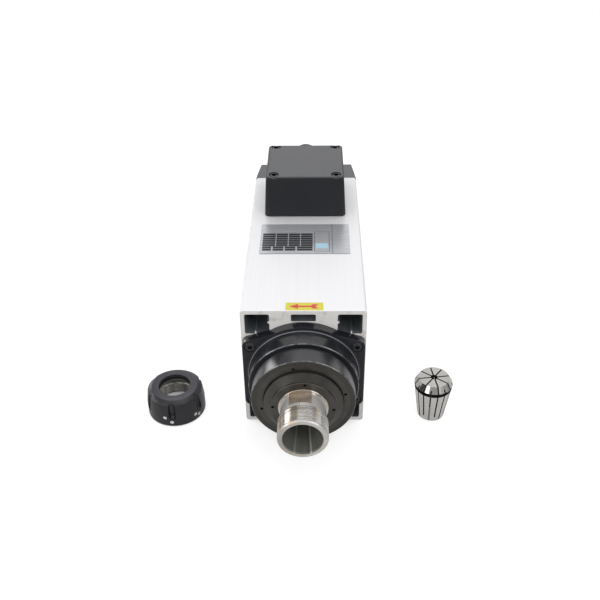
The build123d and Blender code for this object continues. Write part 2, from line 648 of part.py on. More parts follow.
# ---------------------------------------------------------------- rear end plate, fan and fan cover
def rear_end_plate():
    """Cast plate that carries the rear bearing and, on its back, the fan cover."""
    pocket = REAR_BEARING_OUTER + SEAT_CLEARANCE
    plate = prism(flange_sketch(PLATE_RADIUS, PLATE_EAR_ACROSS), REAR, REAR + PLATE_THICK)
    plate += sleeve(0, PLATE_BOSS_RADIUS, REAR - PLATE_BOSS_LENGTH, REAR + PLATE_THICK)
    plate += sleeve(0, STATOR_BORE - SPIGOT_CLEARANCE, REAR - SPIGOT_LENGTH, REAR)
    plate -= sleeve(0, pocket, REAR - PLATE_BOSS_LENGTH, REAR + PLATE_THICK - PLATE_WALL)
    plate -= sleeve(0, PLATE_HOLE, REAR, REAR + PLATE_THICK)
    hole = BACKWARD * rod(FLANGE_SCREW / 2 + SCREW_HOLE_CLEARANCE, PLATE_THICK)
    plate -= at_corners(hole, PLATE_SCREW_ACROSS, FLANGE_SCREW_UP, REAR)
    tapped = BACKWARD * rod(SMALL_SCREW / 2 + THREAD_CLEARANCE, PLATE_THICK)
    return plate - at_corners(tapped, COVER_POST_ACROSS, COVER_POST_UP, REAR)


def rear_plate_screws():
    """Four socket cap screws that hold the end plate on the motor body."""
    screw = BACKWARD * cap_screw(FLANGE_SCREW, PLATE_SCREW_LENGTH)
    return at_corners(screw, PLATE_SCREW_ACROSS, FLANGE_SCREW_UP, REAR + PLATE_THICK)


def preload_spring():
    """Coned disc spring that keeps the rear bearing's outer race loaded."""
    start = rear_bearing_start() + REAR_BEARING_WIDTH
    outer = REAR_BEARING_OUTER - SCREW_HOLE_CLEARANCE
    return turned([(outer, start), (outer, start + SPRING_THICK),
                   (SPRING_BORE, start + SPRING_THICK + SPRING_RISE), (SPRING_BORE, start + SPRING_RISE)])


def cooling_fan():
    """Moulded axial fan on the shaft's tail, with a cupped hub and pitched blades."""
    start = fan_start()
    end = start + FAN_LENGTH
    fan = sleeve(TAIL_SEAT + SEAT_CLEARANCE, FAN_HUB_RADIUS, start, end)
    blade = Rot(0, 0, FAN_PITCH) * Box(FAN_BLADE_THICK, 2 * FAN_LENGTH, FAN_RADIUS,
                                       align=(Align.CENTER, Align.CENTER, Align.MIN))
    blade &= BACKWARD * Pos(0, 0, -FAN_LENGTH / 2) * rod(FAN_RADIUS, FAN_LENGTH)
    blade -= BACKWARD * Pos(0, 0, -FAN_LENGTH / 2) * rod(FAN_HUB_RADIUS - FAN_BLADE_ROOT, FAN_LENGTH)
    for k in range(FAN_BLADES):
        fan += Pos(0, start + FAN_LENGTH / 2, AXIS_UP) * Rot(0, 360 * k / FAN_BLADES, 0) * blade
    return fan


def fan_clip():
    """Spring clip in a groove behind the fan's hub, open over a sixth of its ring."""
    start = fan_start() + FAN_LENGTH
    ring = sleeve(TAIL_SEAT + SEAT_CLEARANCE, CLIP_RADIUS, start, start + CLIP_THICK)
    gap = Pos(0, start, AXIS_UP - CLIP_RADIUS) * Box(TAIL_SEAT, 2 * CLIP_THICK, CLIP_RADIUS)
    return ring - gap


def fan_cover():
    """Drafted plastic hood with a ringed air grille in its back and four screw posts inside."""
    place = Pos(0, REAR, AXIS_UP) * BACKWARD
    outer = extrude(RectangleRounded(BODY_WIDTH, BODY_HEIGHT, COVER_CORNER), COVER_LENGTH, taper=COVER_DRAFT)
    outer = fillet(outer.faces().sort_by(Axis.Z)[-1].outer_wire().edges(), COVER_REAR_ROUND)
    hollow = RectangleRounded(BODY_WIDTH - 2 * COVER_WALL, BODY_HEIGHT - 2 * COVER_WALL, COVER_INNER_CORNER)
    cover = outer - extrude(hollow, COVER_LENGTH - COVER_WALL, taper=COVER_DRAFT)
    post = Pos(0, 0, PLATE_THICK) * rod(COVER_POST_RADIUS, COVER_LENGTH - PLATE_THICK - COVER_WALL / 2)
    bore = rod(SMALL_SCREW / 2 + SCREW_HOLE_CLEARANCE, COVER_LENGTH)
    recess = Pos(0, 0, COVER_LENGTH - COVER_HEAD_RECESS) * rod(
        head_radius(SMALL_SCREW) + COUNTERBORE_CLEARANCE, COVER_HEAD_RECESS)
    for across, up in CORNERS:
        spot = Pos(across * COVER_POST_ACROSS, up * COVER_POST_UP, 0)
        cover += spot * post
        cover -= spot * (bore + recess)
    spokes = Rectangle(4 * FAN_RADIUS, GRILLE_SPOKE) + Rectangle(GRILLE_SPOKE, 4 * FAN_RADIUS)
    for ring in range(GRILLE_RINGS):
        inner_edge = GRILLE_FIRST + ring * (GRILLE_OPEN + GRILLE_BAR)
        openings = Circle(inner_edge + GRILLE_OPEN) - Circle(inner_edge) - Rot(0, 0, 45) * spokes
        cover -= Pos(0, 0, COVER_LENGTH - 2 * COVER_WALL) * extrude(openings, 3 * COVER_WALL)
    return place * cover


def fan_cover_screws():
    """Four long screws through the fan cover's posts into the end plate."""
    length = COVER_LENGTH - COVER_HEAD_RECESS - PLATE_THICK / 2
    screw = BACKWARD * cap_screw(SMALL_SCREW, length)
    return at_corners(screw, COVER_POST_ACROSS, COVER_POST_UP, REAR + COVER_LENGTH - COVER_HEAD_RECESS)


# ---------------------------------------------------------------- terminal box
def wells(shape, height):
    """Four copies of a shape at the box's screw places, at a height above the motor body."""
    return [Pos(across * WELL_ACROSS, BOX_Y + along * WELL_ALONG, TOP + height) * shape
            for across, along in CORNERS]


def box_outline(inset):
    """The box's rounded rectangle at its foot, moved inwards."""
    return RectangleRounded(BOX_WIDTH - 2 * inset, BOX_DEPTH - 2 * inset, BOX_CORNER - inset)


def box_base():
    """Flat tray screwed to the motor body, with a boss for each cover screw."""
    base = Pos(0, BOX_Y, TOP) * extrude(box_outline(SKIRT_WALL + SKIRT_GAP), BASE_HEIGHT)
    base -= Pos(0, BOX_Y, TOP + BASE_FLOOR) * extrude(box_outline(BOX_WALL), BASE_HEIGHT)
    base += wells(rod(BASE_BOSS_RADIUS, BASE_BOSS_HEIGHT), 0)
    base -= wells(rod(SMALL_SCREW / 2 + THREAD_CLEARANCE, BASE_BOSS_HEIGHT), BASE_FLOOR / 2)
    base -= Pos(0, BOX_Y + LEAD_HOLE_ALONG, TOP) * rod(LEAD_HOLE, BASE_HEIGHT)
    base -= Pos(EARTH_ACROSS, BOX_Y + LEAD_HOLE_ALONG, TOP) * rod(
        SMALL_SCREW / 2 + SCREW_HOLE_CLEARANCE, BASE_HEIGHT)
    sink = Cone(SMALL_SCREW / 2 + SCREW_HOLE_CLEARANCE, SMALL_SCREW + SCREW_HOLE_CLEARANCE,
                SMALL_SCREW / 2, align=(Align.CENTER, Align.CENTER, Align.MAX))
    sink += Pos(0, 0, -BASE_FLOOR) * rod(SMALL_SCREW / 2 + SCREW_HOLE_CLEARANCE, BASE_FLOOR)
    return base - base_screw_places(sink)


def base_screw_places(shape):
    """Four copies of a shape at the base's screw places, at the level of its floor."""
    return [Pos(across * BASE_SCREW_ACROSS, BOX_Y + along * BASE_SCREW_ALONG, TOP + BASE_FLOOR) * shape
            for across, along in CORNERS]


def box_gasket():
    """Flat rubber gasket between the base's rim and the cover."""
    ring = box_outline(SKIRT_WALL + SKIRT_GAP + GASKET_INSET) - box_outline(BOX_WALL)
    return Pos(0, BOX_Y, TOP + BASE_HEIGHT) * extrude(ring, GASKET_THICK)


def gland_place():
    """Frame of the cable gland: its Z axis points out of the pad on the box's rear wall."""
    return Pos(0, BOX_Y + BOX_DEPTH / 2, TOP + GLAND_HEIGHT) * BACKWARD


def box_cover():
    """Deep moulded cover with a skirt round the base, four screw posts and a cable gland pad behind."""
    seat = BASE_HEIGHT + GASKET_THICK
    outer = extrude(box_outline(0), BOX_HEIGHT - SKIRT_LIFT, taper=BOX_DRAFT)
    outer = fillet(outer.faces().sort_by(Axis.Z)[-1].outer_wire().edges(), BOX_TOP_ROUND)
    outer = Pos(0, BOX_Y, TOP + SKIRT_LIFT) * outer
    cover = outer - Pos(0, BOX_Y, TOP) * extrude(box_outline(SKIRT_WALL), seat)
    cover -= Pos(0, BOX_Y, TOP + seat) * extrude(box_outline(BOX_WALL), BOX_HEIGHT - seat - BOX_WALL,
                                                 taper=BOX_DRAFT)
    post_foot = BASE_BOSS_HEIGHT
    posts = wells(rod(POST_RADIUS, BOX_HEIGHT - post_foot - BOX_WALL / 2), post_foot)
    cover += [outer & post for post in posts]
    cover += gland_place() * Pos(0, 0, -2 * BOX_WALL) * rod(GLAND_PAD_RADIUS, 2 * BOX_WALL)
    cover -= gland_place() * Pos(0, 0, -3 * BOX_WALL) * rod(GLAND_THREAD + SCREW_HOLE_CLEARANCE, 3 * BOX_WALL)
    cover -= gland_place() * Pos(0, 0, -2 * BOX_WALL - GLAND_STUB) * rod(
        GLAND_PAD_RADIUS + GLAND_ROOM, GLAND_STUB)
    cover -= wells(rod(WELL_RADIUS, WELL_DEPTH), BOX_HEIGHT - WELL_DEPTH)
    return cover - wells(rod(SMALL_SCREW / 2 + SCREW_HOLE_CLEARANCE, BOX_HEIGHT), post_foot)


def cover_screws():
    """Four long cap screws, their heads almost level with the cover's top."""
    seat = BOX_HEIGHT - WELL_DEPTH
    return wells(cap_screw(SMALL_SCREW, seat - BASE_FLOOR), seat)


def base_screws():
    """Four countersunk screws that hold the base on the motor body."""
    return base_screw_places(countersunk_screw(SMALL_SCREW, BASE_FLOOR + BASE_SCREW_DEPTH - SCREW_END_GAP))


def earth_screw():
    """Brass earth screw beside the lead hole."""
    spot = Pos(EARTH_ACROSS, BOX_Y + LEAD_HOLE_ALONG, TOP + BASE_FLOOR)
    return spot * cap_screw(SMALL_SCREW, BASE_FLOOR + BASE_SCREW_DEPTH - SCREW_END_GAP)


def board_place():
    """Middle of the terminal board's foot."""
    return Pos(0, BOX_Y + BOARD_ALONG, TOP + BASE_FLOOR)


def stud_places(shape, height):
    """Four copies of a shape along the terminal board."""
    return [board_place() * Pos((k - 1.5) * STUD_PITCH, 0, height) * shape for k in range(4)]


def terminal_board():
    """Moulded board with a barrier between each pair of terminals."""
    block = Box(BOARD_WIDTH, BOARD_DEPTH, BOARD_HEIGHT, align=(Align.CENTER, Align.CENTER, Align.MIN))
    rib = Box(BOARD_RIB, BOARD_DEPTH, BOARD_RIB_HEIGHT, align=(Align.CENTER, Align.CENTER, Align.MIN))
    for k in range(3):
        block += Pos((k - 1) * STUD_PITCH, 0, BOARD_HEIGHT) * rib
    holes = stud_places(rod(STUD_RADIUS + SEAT_CLEARANCE, STUD_LENGTH), BOARD_HEIGHT / 2)
    return board_place() * block - holes


def terminal_studs():
    """Four brass studs in the terminal board."""
    return stud_places(rod(STUD_RADIUS, STUD_LENGTH), BOARD_HEIGHT / 2)


def terminal_nuts():
    """A brass nut on each stud."""
    nut = extrude(RegularPolygon(NUT_ACROSS / 2, 6, major_radius=False), NUT_THICK)
    return stud_places(nut - rod(STUD_RADIUS + SEAT_CLEARANCE, NUT_THICK), BOARD_HEIGHT)


def winding_leads():
    """Three insulated leads that rise from the winding and enter the board's front."""
    height = TOP + BASE_FLOOR + LEAD_HEIGHT
    foot = AXIS_UP + WINDING_OUTER
    start_y = BOX_Y + LEAD_HOLE_ALONG
    end_y = BOX_Y + BOARD_ALONG - BOARD_DEPTH / 2
    leads = []
    for k in range(3):
        across = (k - 1) * LEAD_PITCH
        path = FilletPolyline((across, start_y, foot), (across, start_y, height),
                              (across, end_y, height), radius=LEAD_BEND)
        leads.append(sweep(Plane((across, start_y, foot)) * Circle(LEAD_RADIUS), path))
    return leads


# ---------------------------------------------------------------- cable gland
def gland_body():
    """Gland body: hexagon outside the wall, threaded tube through it."""
    inside = 2 * BOX_WALL + GLAND_STUB
    body = extrude(RegularPolygon(GLAND_HEX / 2, 6, major_radius=False), GLAND_HEX_THICK)
    body += Pos(0, 0, -inside) * rod(GLAND_THREAD, inside)
    body -= Pos(0, 0, -inside) * rod(GLAND_SEAL_RADIUS - GLAND_LIP, inside + GLAND_HEX_THICK)
    return gland_place() * body


def gland_locknut():
    """Hexagon locknut inside the wall."""
    nut = extrude(RegularPolygon(GLAND_HEX / 2, 6, major_radius=False), GLAND_LOCKNUT_THICK)
    nut -= rod(GLAND_THREAD + SEAT_CLEARANCE, GLAND_LOCKNUT_THICK)
    return gland_place() * Pos(0, 0, -2 * BOX_WALL - GLAND_LOCKNUT_THICK) * nut


def gland_cap():
    """Domed clamping nut."""
    cap = fillet(rod(GLAND_CAP_RADIUS, GLAND_CAP_LENGTH).edges().group_by(Axis.Z)[-1], GLAND_CAP_ROUND)
    cap -= rod(GLAND_SEAL_RADIUS + SEAT_CLEARANCE, GLAND_SEAL_LENGTH)
    cap -= rod(GLAND_BORE + GLAND_LIP / 2, GLAND_CAP_LENGTH)
    return gland_place() * Pos(0, 0, GLAND_HEX_THICK) * cap


def gland_seal():
    """Rubber sealing ring that closes round the cable."""
    seal = rod(GLAND_SEAL_RADIUS, GLAND_SEAL_LENGTH) - rod(GLAND_BORE, GLAND_SEAL_LENGTH)
    return gland_place() * Pos(0, 0, GLAND_HEX_THICK) * seal


# ---------------------------------------------------------------- collet nut
def collet_nut():
    """Slotted nut: thread at its foot, cavity for the extractor ring, mouth in its top face."""
    cavity_roof = NUT_HEIGHT - NUT_LIP
    cavity_foot = NUT_THREAD_LENGTH + NUT_THREAD_CHAMFER + NUT_RELIEF
    y = FRONT + NUT_Y
    nut = turned_upright([
        (NUT_THREAD_RADIUS + NUT_THREAD_CHAMFER, 0), (NUT_RADIUS - NUT_FOOT_CHAMFER, 0),
        (NUT_RADIUS, NUT_FOOT_CHAMFER), (NUT_RADIUS, NUT_STRAIGHT),
        (NUT_SHOULDER_RADIUS, NUT_SHOULDER_HEIGHT), (NUT_FACE_RADIUS, NUT_HEIGHT),
        (NUT_MOUTH, NUT_HEIGHT), (NUT_MOUTH, cavity_roof), (NUT_CAVITY, cavity_roof),
        (NUT_CAVITY, cavity_foot), (NUT_RELIEF_RADIUS, cavity_foot),
        (NUT_RELIEF_RADIUS, cavity_foot - NUT_RELIEF), (NUT_THREAD_RADIUS, cavity_foot - NUT_RELIEF),
        (NUT_THREAD_RADIUS, NUT_THREAD_CHAMFER)], NUT_X, y)
    slot_centre = NUT_RADIUS - NUT_SLOT_DEPTH + NUT_SLOT_RADIUS
    floor = NUT_SLOT_FLOOR + NUT_SLOT_RADIUS
    cutter = Pos(slot_centre, 0, floor) * (rod(NUT_SLOT_RADIUS, NUT_HEIGHT) + Sphere(NUT_SLOT_RADIUS))
    for k in range(NUT_SLOTS):
        nut -= Pos(NUT_X, y, 0) * Rot(0, 0, NUT_SLOT_TURN + 360 * k / NUT_SLOTS) * cutter
    drill = Rot(0, 90, 0) * Cylinder(BALANCE_DRILL, 2 * BALANCE_DRILL_DEPTH)
    for turn, height in BALANCE_PLACES:
        nut -= Pos(NUT_X, y, 0) * Rot(0, 0, turn) * Pos(NUT_RADIUS, 0, height) * drill
    return nut


def nut_washer():
    """Bronze slip washer between the nut's lip and its extractor ring."""
    roof = NUT_HEIGHT - NUT_LIP
    outer = NUT_CAVITY - NUT_RING_CLEARANCE
    return turned_upright([(WASHER_BORE, roof - WASHER_THICK), (outer, roof - WASHER_THICK),
                           (outer, roof), (WASHER_BORE, roof)], NUT_X, FRONT + NUT_Y)


def nut_extractor_ring():
    """Free-turning steel ring whose cone presses on the collet's head."""
    roof = NUT_HEIGHT - NUT_LIP - WASHER_THICK
    foot = roof - NUT_RING_HEIGHT
    outer = NUT_CAVITY - NUT_RING_CLEARANCE
    wide = NUT_RING_MOUTH + NUT_RING_HEIGHT * tan(radians(NUT_RING_ANGLE))
    return turned_upright([(wide, foot), (outer, foot), (outer, roof), (NUT_RING_MOUTH, roof)],
                          NUT_X, FRONT + NUT_Y)


# ---------------------------------------------------------------- spring collet
def spring_collet():
    """Steel collet slit from both ends in turn, so that it closes evenly along its bore."""
    cone = (COLLET_HEAD_RADIUS - COLLET_FACE_RADIUS) / tan(radians(COLLET_FACE_ANGLE))
    head_foot = COLLET_HEIGHT - cone - COLLET_HEAD_LAND
    groove_foot = head_foot - COLLET_GROOVE
    foot_radius = COLLET_BODY_RADIUS - groove_foot * tan(radians(SOCKET_ANGLE))
    relief_end = COLLET_HEIGHT - COLLET_GRIP
    y = FRONT + COLLET_Y
    collet = turned_upright([
        (COLLET_RELIEF, 0), (foot_radius - COLLET_FOOT_CHAMFER, 0), (foot_radius, COLLET_FOOT_CHAMFER),
        (COLLET_BODY_RADIUS, groove_foot), (COLLET_GROOVE_RADIUS, groove_foot),
        (COLLET_GROOVE_RADIUS, head_foot), (COLLET_HEAD_RADIUS, head_foot),
        (COLLET_HEAD_RADIUS, head_foot + COLLET_HEAD_LAND), (COLLET_FACE_RADIUS, COLLET_HEIGHT),
        (COLLET_BORE, COLLET_HEIGHT), (COLLET_BORE, relief_end), (COLLET_RELIEF, relief_end)], COLLET_X, y)
    reach = 2 * COLLET_HEAD_RADIUS
    slit = Box(reach, COLLET_SLIT, COLLET_HEIGHT, align=(Align.MIN, Align.CENTER, Align.MIN))
    for k in range(COLLET_SLITS):
        turn = COLLET_SLIT_TURN + 360 * k / COLLET_SLITS
        collet -= Pos(COLLET_X, y, COLLET_SLIT_STOP) * Rot(0, 0, turn) * slit
        turn += 180 / COLLET_SLITS
        collet -= Pos(COLLET_X, y, -COLLET_REAR_SLIT_STOP) * Rot(0, 0, turn) * slit
    return collet


# ---------------------------------------------------------------- write every sub-part
front_races = [race_pair(FRONT_BEARING_BORE, FRONT_BEARING_OUTER, FRONT_BEARING_WIDTH, start)
               for start in front_bearing_starts()]
rear_races = race_pair(REAR_BEARING_BORE, REAR_BEARING_OUTER, REAR_BEARING_WIDTH, rear_bearing_start())
spacer_start = ahead(BEARING_FRONT_REACH) + FRONT_BEARING_WIDTH
spacer_end = spacer_start + BEARING_SPACER
race_height = RACE_SHARE * (FRONT_BEARING_OUTER - FRONT_BEARING_BORE)

save("motor_housing", motor_housing())
save("front_bearing_housing", front_bearing_housing())
save("flange_screws", *flange_screws())
save("bearing_lock_ring", bearing_lock_ring())
save("front_bearing_outer_races", *[pair[1] for pair in front_races])
save("outer_race_spacer", sleeve(FRONT_BEARING_OUTER - race_height, FRONT_BEARING_OUTER,
                                 spacer_start, spacer_end))
save("front_bearing_cages", *[ball_cage(FRONT_BEARING_BORE, FRONT_BEARING_OUTER, FRONT_BEARING_WIDTH, start)
                              for start in front_bearing_starts()])
save("front_bearing_inner_races", *[pair[0] for pair in front_races])
save("inner_race_spacer", sleeve(FRONT_BEARING_BORE + SEAT_CLEARANCE, FRONT_BEARING_BORE + race_height,
                                 spacer_start, spacer_end))
save("spindle_shaft", spindle_shaft())
save("labyrinth_disc", labyrinth_disc())
save("shaft_locknut", shaft_locknut())
save("rotor_core", rotor_core())
save("rotor_end_rings", *rotor_end_rings())
save("stator_core", stator_core())
save("stator_end_windings", *end_windings())
save("rear_end_plate", rear_end_plate())
save("rear_plate_screws", *rear_plate_screws())
save("rear_bearing_outer_race", rear_races[1])
save("rear_bearing_inner_race", rear_races[0])
save("rear_bearing_cage", ball_cage(REAR_BEARING_BORE, REAR_BEARING_OUTER, REAR_BEARING_WIDTH,
                                    rear_bearing_start()))
save("preload_spring", preload_spring())
save("cooling_fan", cooling_fan())
save("fan_clip", fan_clip())
save("fan_cover", fan_cover())
save("fan_cover_screws", *fan_cover_screws())
save("terminal_box_base", box_base())
save("terminal_box_gasket", box_gasket())
save("terminal_box_cover", box_cover())
save("box_cover_screws", *cover_screws())
save("box_base_screws", *base_screws())
save("earth_screw", earth_screw())
save("terminal_board", terminal_board())
save("terminal_studs", *terminal_studs())
save("terminal_nuts", *terminal_nuts())
save("winding_leads", *winding_leads())
save("gland_body", gland_body())
save("gland_locknut", gland_locknut())
save("gland_cap", gland_cap())
save("gland_seal", gland_seal())
save("collet_nut", collet_nut())
save("nut_slip_washer", nut_washer())
save("nut_extractor_ring", nut_extractor_ring())
save("spring_collet", spring_collet())
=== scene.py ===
"""Air-cooled motor spindle with its collet nut and spring collet: its looks, on its frame."""

import bmesh
import bpy
from math import acos, cos, pi, radians, sin, tan
from mathutils import Matrix, Vector


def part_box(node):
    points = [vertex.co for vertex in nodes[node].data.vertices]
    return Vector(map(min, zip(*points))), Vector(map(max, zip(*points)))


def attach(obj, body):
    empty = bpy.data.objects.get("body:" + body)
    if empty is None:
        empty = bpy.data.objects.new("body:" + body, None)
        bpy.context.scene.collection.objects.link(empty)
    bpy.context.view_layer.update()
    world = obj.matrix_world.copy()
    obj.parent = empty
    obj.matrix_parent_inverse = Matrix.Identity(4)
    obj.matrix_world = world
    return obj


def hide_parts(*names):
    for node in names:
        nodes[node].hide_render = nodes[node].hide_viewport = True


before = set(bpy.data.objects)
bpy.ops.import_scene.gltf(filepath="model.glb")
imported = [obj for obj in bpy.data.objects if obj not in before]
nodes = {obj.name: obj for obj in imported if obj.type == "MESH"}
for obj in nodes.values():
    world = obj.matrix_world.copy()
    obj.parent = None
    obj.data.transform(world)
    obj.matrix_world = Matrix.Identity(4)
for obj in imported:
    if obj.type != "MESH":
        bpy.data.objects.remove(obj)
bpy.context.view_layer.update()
MM = 0.001

# ---------------------------------------------------------------- studio
# A white floor and a white room, plain soft lamps, and a camera that looks down on the nose.
# The camera's place and turn are in millimetres and degrees, in the spindle's own frame.
CAMERA_PLACE = (9.845, -645.95, 514.35)
CAMERA_PITCH = 35.824
CAMERA_YAW = -1.336
CAMERA_ROLL = -0.811
CAMERA_LENS = 49.40
FLOOR_HALF = 6000
PAPER_LIT = (0.38, 0.6)       # metres to each side over which the lit paper falls dim
PAPER_MIRRORED = 0.33         # how strongly polished metal mirrors the paper
SHUT_IN = 30                  # paper with walls this near is shut in
# in polished metal: a white sheet between two bearings, in radians, with soft edges, brightest
# low down, in a grey room
SHEET_LEFT = (-0.42, -0.22)
SHEET_RIGHT = (0.66, 0.5)
SHEET_HEIGHT = (0.45, 0.66)
SHEET_LEVEL = (1.1, 0.7)
ROOM_LEVEL = 0.36
# the room's windows: bearing, half width, height and half depth on a unit sphere, and brightness
WINDOWS = ((-0.66, 0.13, 0.14, 0.2, 1.9), (0.85, 0.3, 0.14, 0.2, 1.0),
           (-1.55, 0.45, 0.42, 0.2, 3.5), (1.5, 0.4, 0.42, 0.2, 2.0), (pi, 1.1, 0.76, 0.2, 1.1))


def linear(code):
    """An sRGB hex colour as the linear RGBA that shaders take."""
    parts = [int(code[k:k + 2], 16) / 255 for k in (1, 3, 5)]
    light = [c / 12.92 if c <= 0.04045 else ((c + 0.055) / 1.055) ** 2.4 for c in parts]
    return (*light, 1.0)


def feed(node, inputs):
    """Give a node its inputs: each is a value, or the node or socket that feeds it."""
    for name, value in inputs.items():
        if isinstance(value, bpy.types.Node):
            value = next(out for out in value.outputs if out.enabled)
        if isinstance(value, bpy.types.NodeSocket):
            node.id_data.links.new(value, node.inputs[name])
        else:
            node.inputs[name].default_value = value


def add(tree, kind, inputs, **settings):
    """Add one shader node with its settings and its inputs."""
    node = tree.nodes.new("ShaderNode" + kind)
    for name, value in settings.items():
        setattr(node, name, value)
    feed(node, inputs)
    return node


def add_piece(name, mesh, body, material):
    """Put a finished mesh in the scene, with its material, on the body that carries it."""
    piece = bpy.data.objects.new(name, mesh)
    bpy.context.scene.collection.objects.link(piece)
    mesh.materials.append(material)
    if body:
        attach(piece, body)
    return piece


def aim_camera():
    """Set the camera from its pitch, yaw and roll."""
    pitch, yaw, roll = radians(CAMERA_PITCH), radians(CAMERA_YAW), radians(CAMERA_ROLL)
    forward = Vector((sin(yaw) * cos(pitch), cos(yaw) * cos(pitch), -sin(pitch)))
    level = Vector((cos(yaw), -sin(yaw), 0))
    upright = level.cross(forward)
    right = cos(roll) * level + sin(roll) * upright
    up = cos(roll) * upright - sin(roll) * level
    camera = bpy.data.objects.new("camera", bpy.data.cameras.new("camera"))
    camera.data.lens = CAMERA_LENS
    camera.data.clip_start = 0.01
    turn = Matrix((right, up, -forward)).transposed().to_4x4()
    camera.matrix_world = Matrix.Translation(Vector(CAMERA_PLACE) * MM) @ turn
    bpy.context.scene.collection.objects.link(camera)
    bpy.context.scene.camera = camera


def add_lamp(name, place, target, width, depth, brightness):
    """A soft rectangular lamp at a place in metres; brightness is radiance, where white is 1."""
    lamp = bpy.data.objects.new(name, bpy.data.lights.new(name, "AREA"))
    lamp.data.shape = "RECTANGLE"
    lamp.data.size = width
    lamp.data.size_y = depth
    lamp.data.energy = brightness * pi * width * depth
    lamp.location = place
    lamp.rotation_euler = (Vector(target) - Vector(place)).to_track_quat("-Z", "Y").to_euler()
    bpy.context.scene.collection.objects.link(lamp)


for spare in ("Camera", "Light", "Cube"):
    if spare in bpy.data.objects:
        bpy.data.objects.remove(bpy.data.objects[spare])
aim_camera()
bpy.context.scene.view_settings.view_transform = "Standard"

# a broad softbox overhead, one low at the front left, and small ones that line the turned edges
add_lamp("overhead", (0.05, 0.15, 1.2), (0, 0, 0.06), 1.4, 1.1, 1.32)
add_lamp("front_left", (-0.85, -0.95, 0.5), (0, -0.14, 0.06), 0.8, 0.6, 2.6)
add_lamp("front_right", (0.95, -0.95, 0.8), (0, -0.14, 0.06), 0.7, 0.6, 2.9)
add_lamp("rear_left", (-0.95, 0.75, 0.3), (0, -0.18, 0.06), 0.5, 0.4, 2.3)

world = bpy.data.worlds.new("studio")
bpy.context.scene.world = world
world.use_nodes = True
tree = world.node_tree
ray = add(tree, "LightPath", {})
seen = add(tree, "Math", {0: ray.outputs["Is Camera Ray"], 1: ray.outputs["Is Transmission Ray"]},
           operation="MAXIMUM")
view = add(tree, "TexCoord", {})
split = add(tree, "SeparateXYZ", {0: view.outputs["Generated"]})
# mirrored rays find the white sheet and the windows; other rays find plain even light
bearing_of = add(tree, "Math", {0: split.outputs["X"], 1: split.outputs["Y"]}, operation="ARCTAN2")
from_left = add(tree, "MapRange", {"Value": bearing_of, "From Min": SHEET_LEFT[0],
                                   "From Max": SHEET_LEFT[1]})
from_right = add(tree, "MapRange", {"Value": bearing_of, "From Min": SHEET_RIGHT[0],
                                    "From Max": SHEET_RIGHT[1]})
sheet = add(tree, "Math", {0: from_left, 1: from_right}, operation="MULTIPLY")
height = add(tree, "MapRange", {"Value": split.outputs["Z"], "From Min": SHEET_HEIGHT[0],
                                "From Max": SHEET_HEIGHT[1], "To Min": SHEET_LEVEL[0],
                                "To Max": SHEET_LEVEL[1]})
room = add(tree, "Mix", {0: sheet, 2: ROOM_LEVEL, 3: height})
for bearing, bearing_reach, rise, rise_reach, brightness in WINDOWS:
    aside = add(tree, "Math", {0: bearing_of, 1: bearing}, operation="SUBTRACT")
    aside = add(tree, "Math", {0: aside, 1: -pi, 2: pi}, operation="WRAP")
    level_with = add(tree, "Math", {0: aside, 1: 0.0, 2: bearing_reach}, operation="COMPARE")
    as_high = add(tree, "Math", {0: split.outputs["Z"], 1: rise, 2: rise_reach},
                  operation="COMPARE")
    window = add(tree, "Math", {0: level_with, 1: as_high}, operation="MULTIPLY")
    room = add(tree, "Mix", {0: window, 2: room, 3: brightness})
soft = add(tree, "Mix", {0: ray.outputs["Is Glossy Ray"], 2: 0.5, 3: room})
level = add(tree, "Mix", {0: seen, 2: soft, 3: 1.0})
feed(tree.nodes["Background"], {"Color": (1, 1, 1, 1), "Strength": level})

floor_mesh = bpy.data.meshes.new("floor")
floor_mesh.from_pydata([(x * FLOOR_HALF * MM, y * FLOOR_HALF * MM, 0)
                        for x, y in ((-1, -1), (1, -1), (1, 1), (-1, 1))], [], [(0, 1, 2, 3)])
paper = bpy.data.materials.new("white_background_paper")
paper.use_nodes = True
tree = paper.node_tree
matt = tree.nodes["Principled BSDF"]
feed(matt, {"Roughness": 0.9, "Specular IOR Level": 0.1})
# lit paper near the spindle, dim further out; straight views see it lifted to white everywhere
place = add(tree, "TexCoord", {})
split = add(tree, "SeparateXYZ", {0: place.outputs["Object"]})
aside = add(tree, "Math", {0: split.outputs["X"]}, operation="ABSOLUTE")
near = add(tree, "MapRange", {"Value": aside, "From Min": PAPER_LIT[0], "From Max": PAPER_LIT[1],
                              "To Min": 1.0, "To Max": 0.12})
shade = add(tree, "Mix", {0: near, 6: linear("#000000"), 7: linear("#a8a8a8")}, data_type="RGBA")
feed(matt, {"Base Color": shade})
ray = add(tree, "LightPath", {})
seen = add(tree, "Math", {0: ray.outputs["Is Camera Ray"], 1: ray.outputs["Is Transmission Ray"]},
           operation="MAXIMUM")
lift = add(tree, "MapRange", {"Value": near, "To Min": 1.0, "To Max": 0.76})
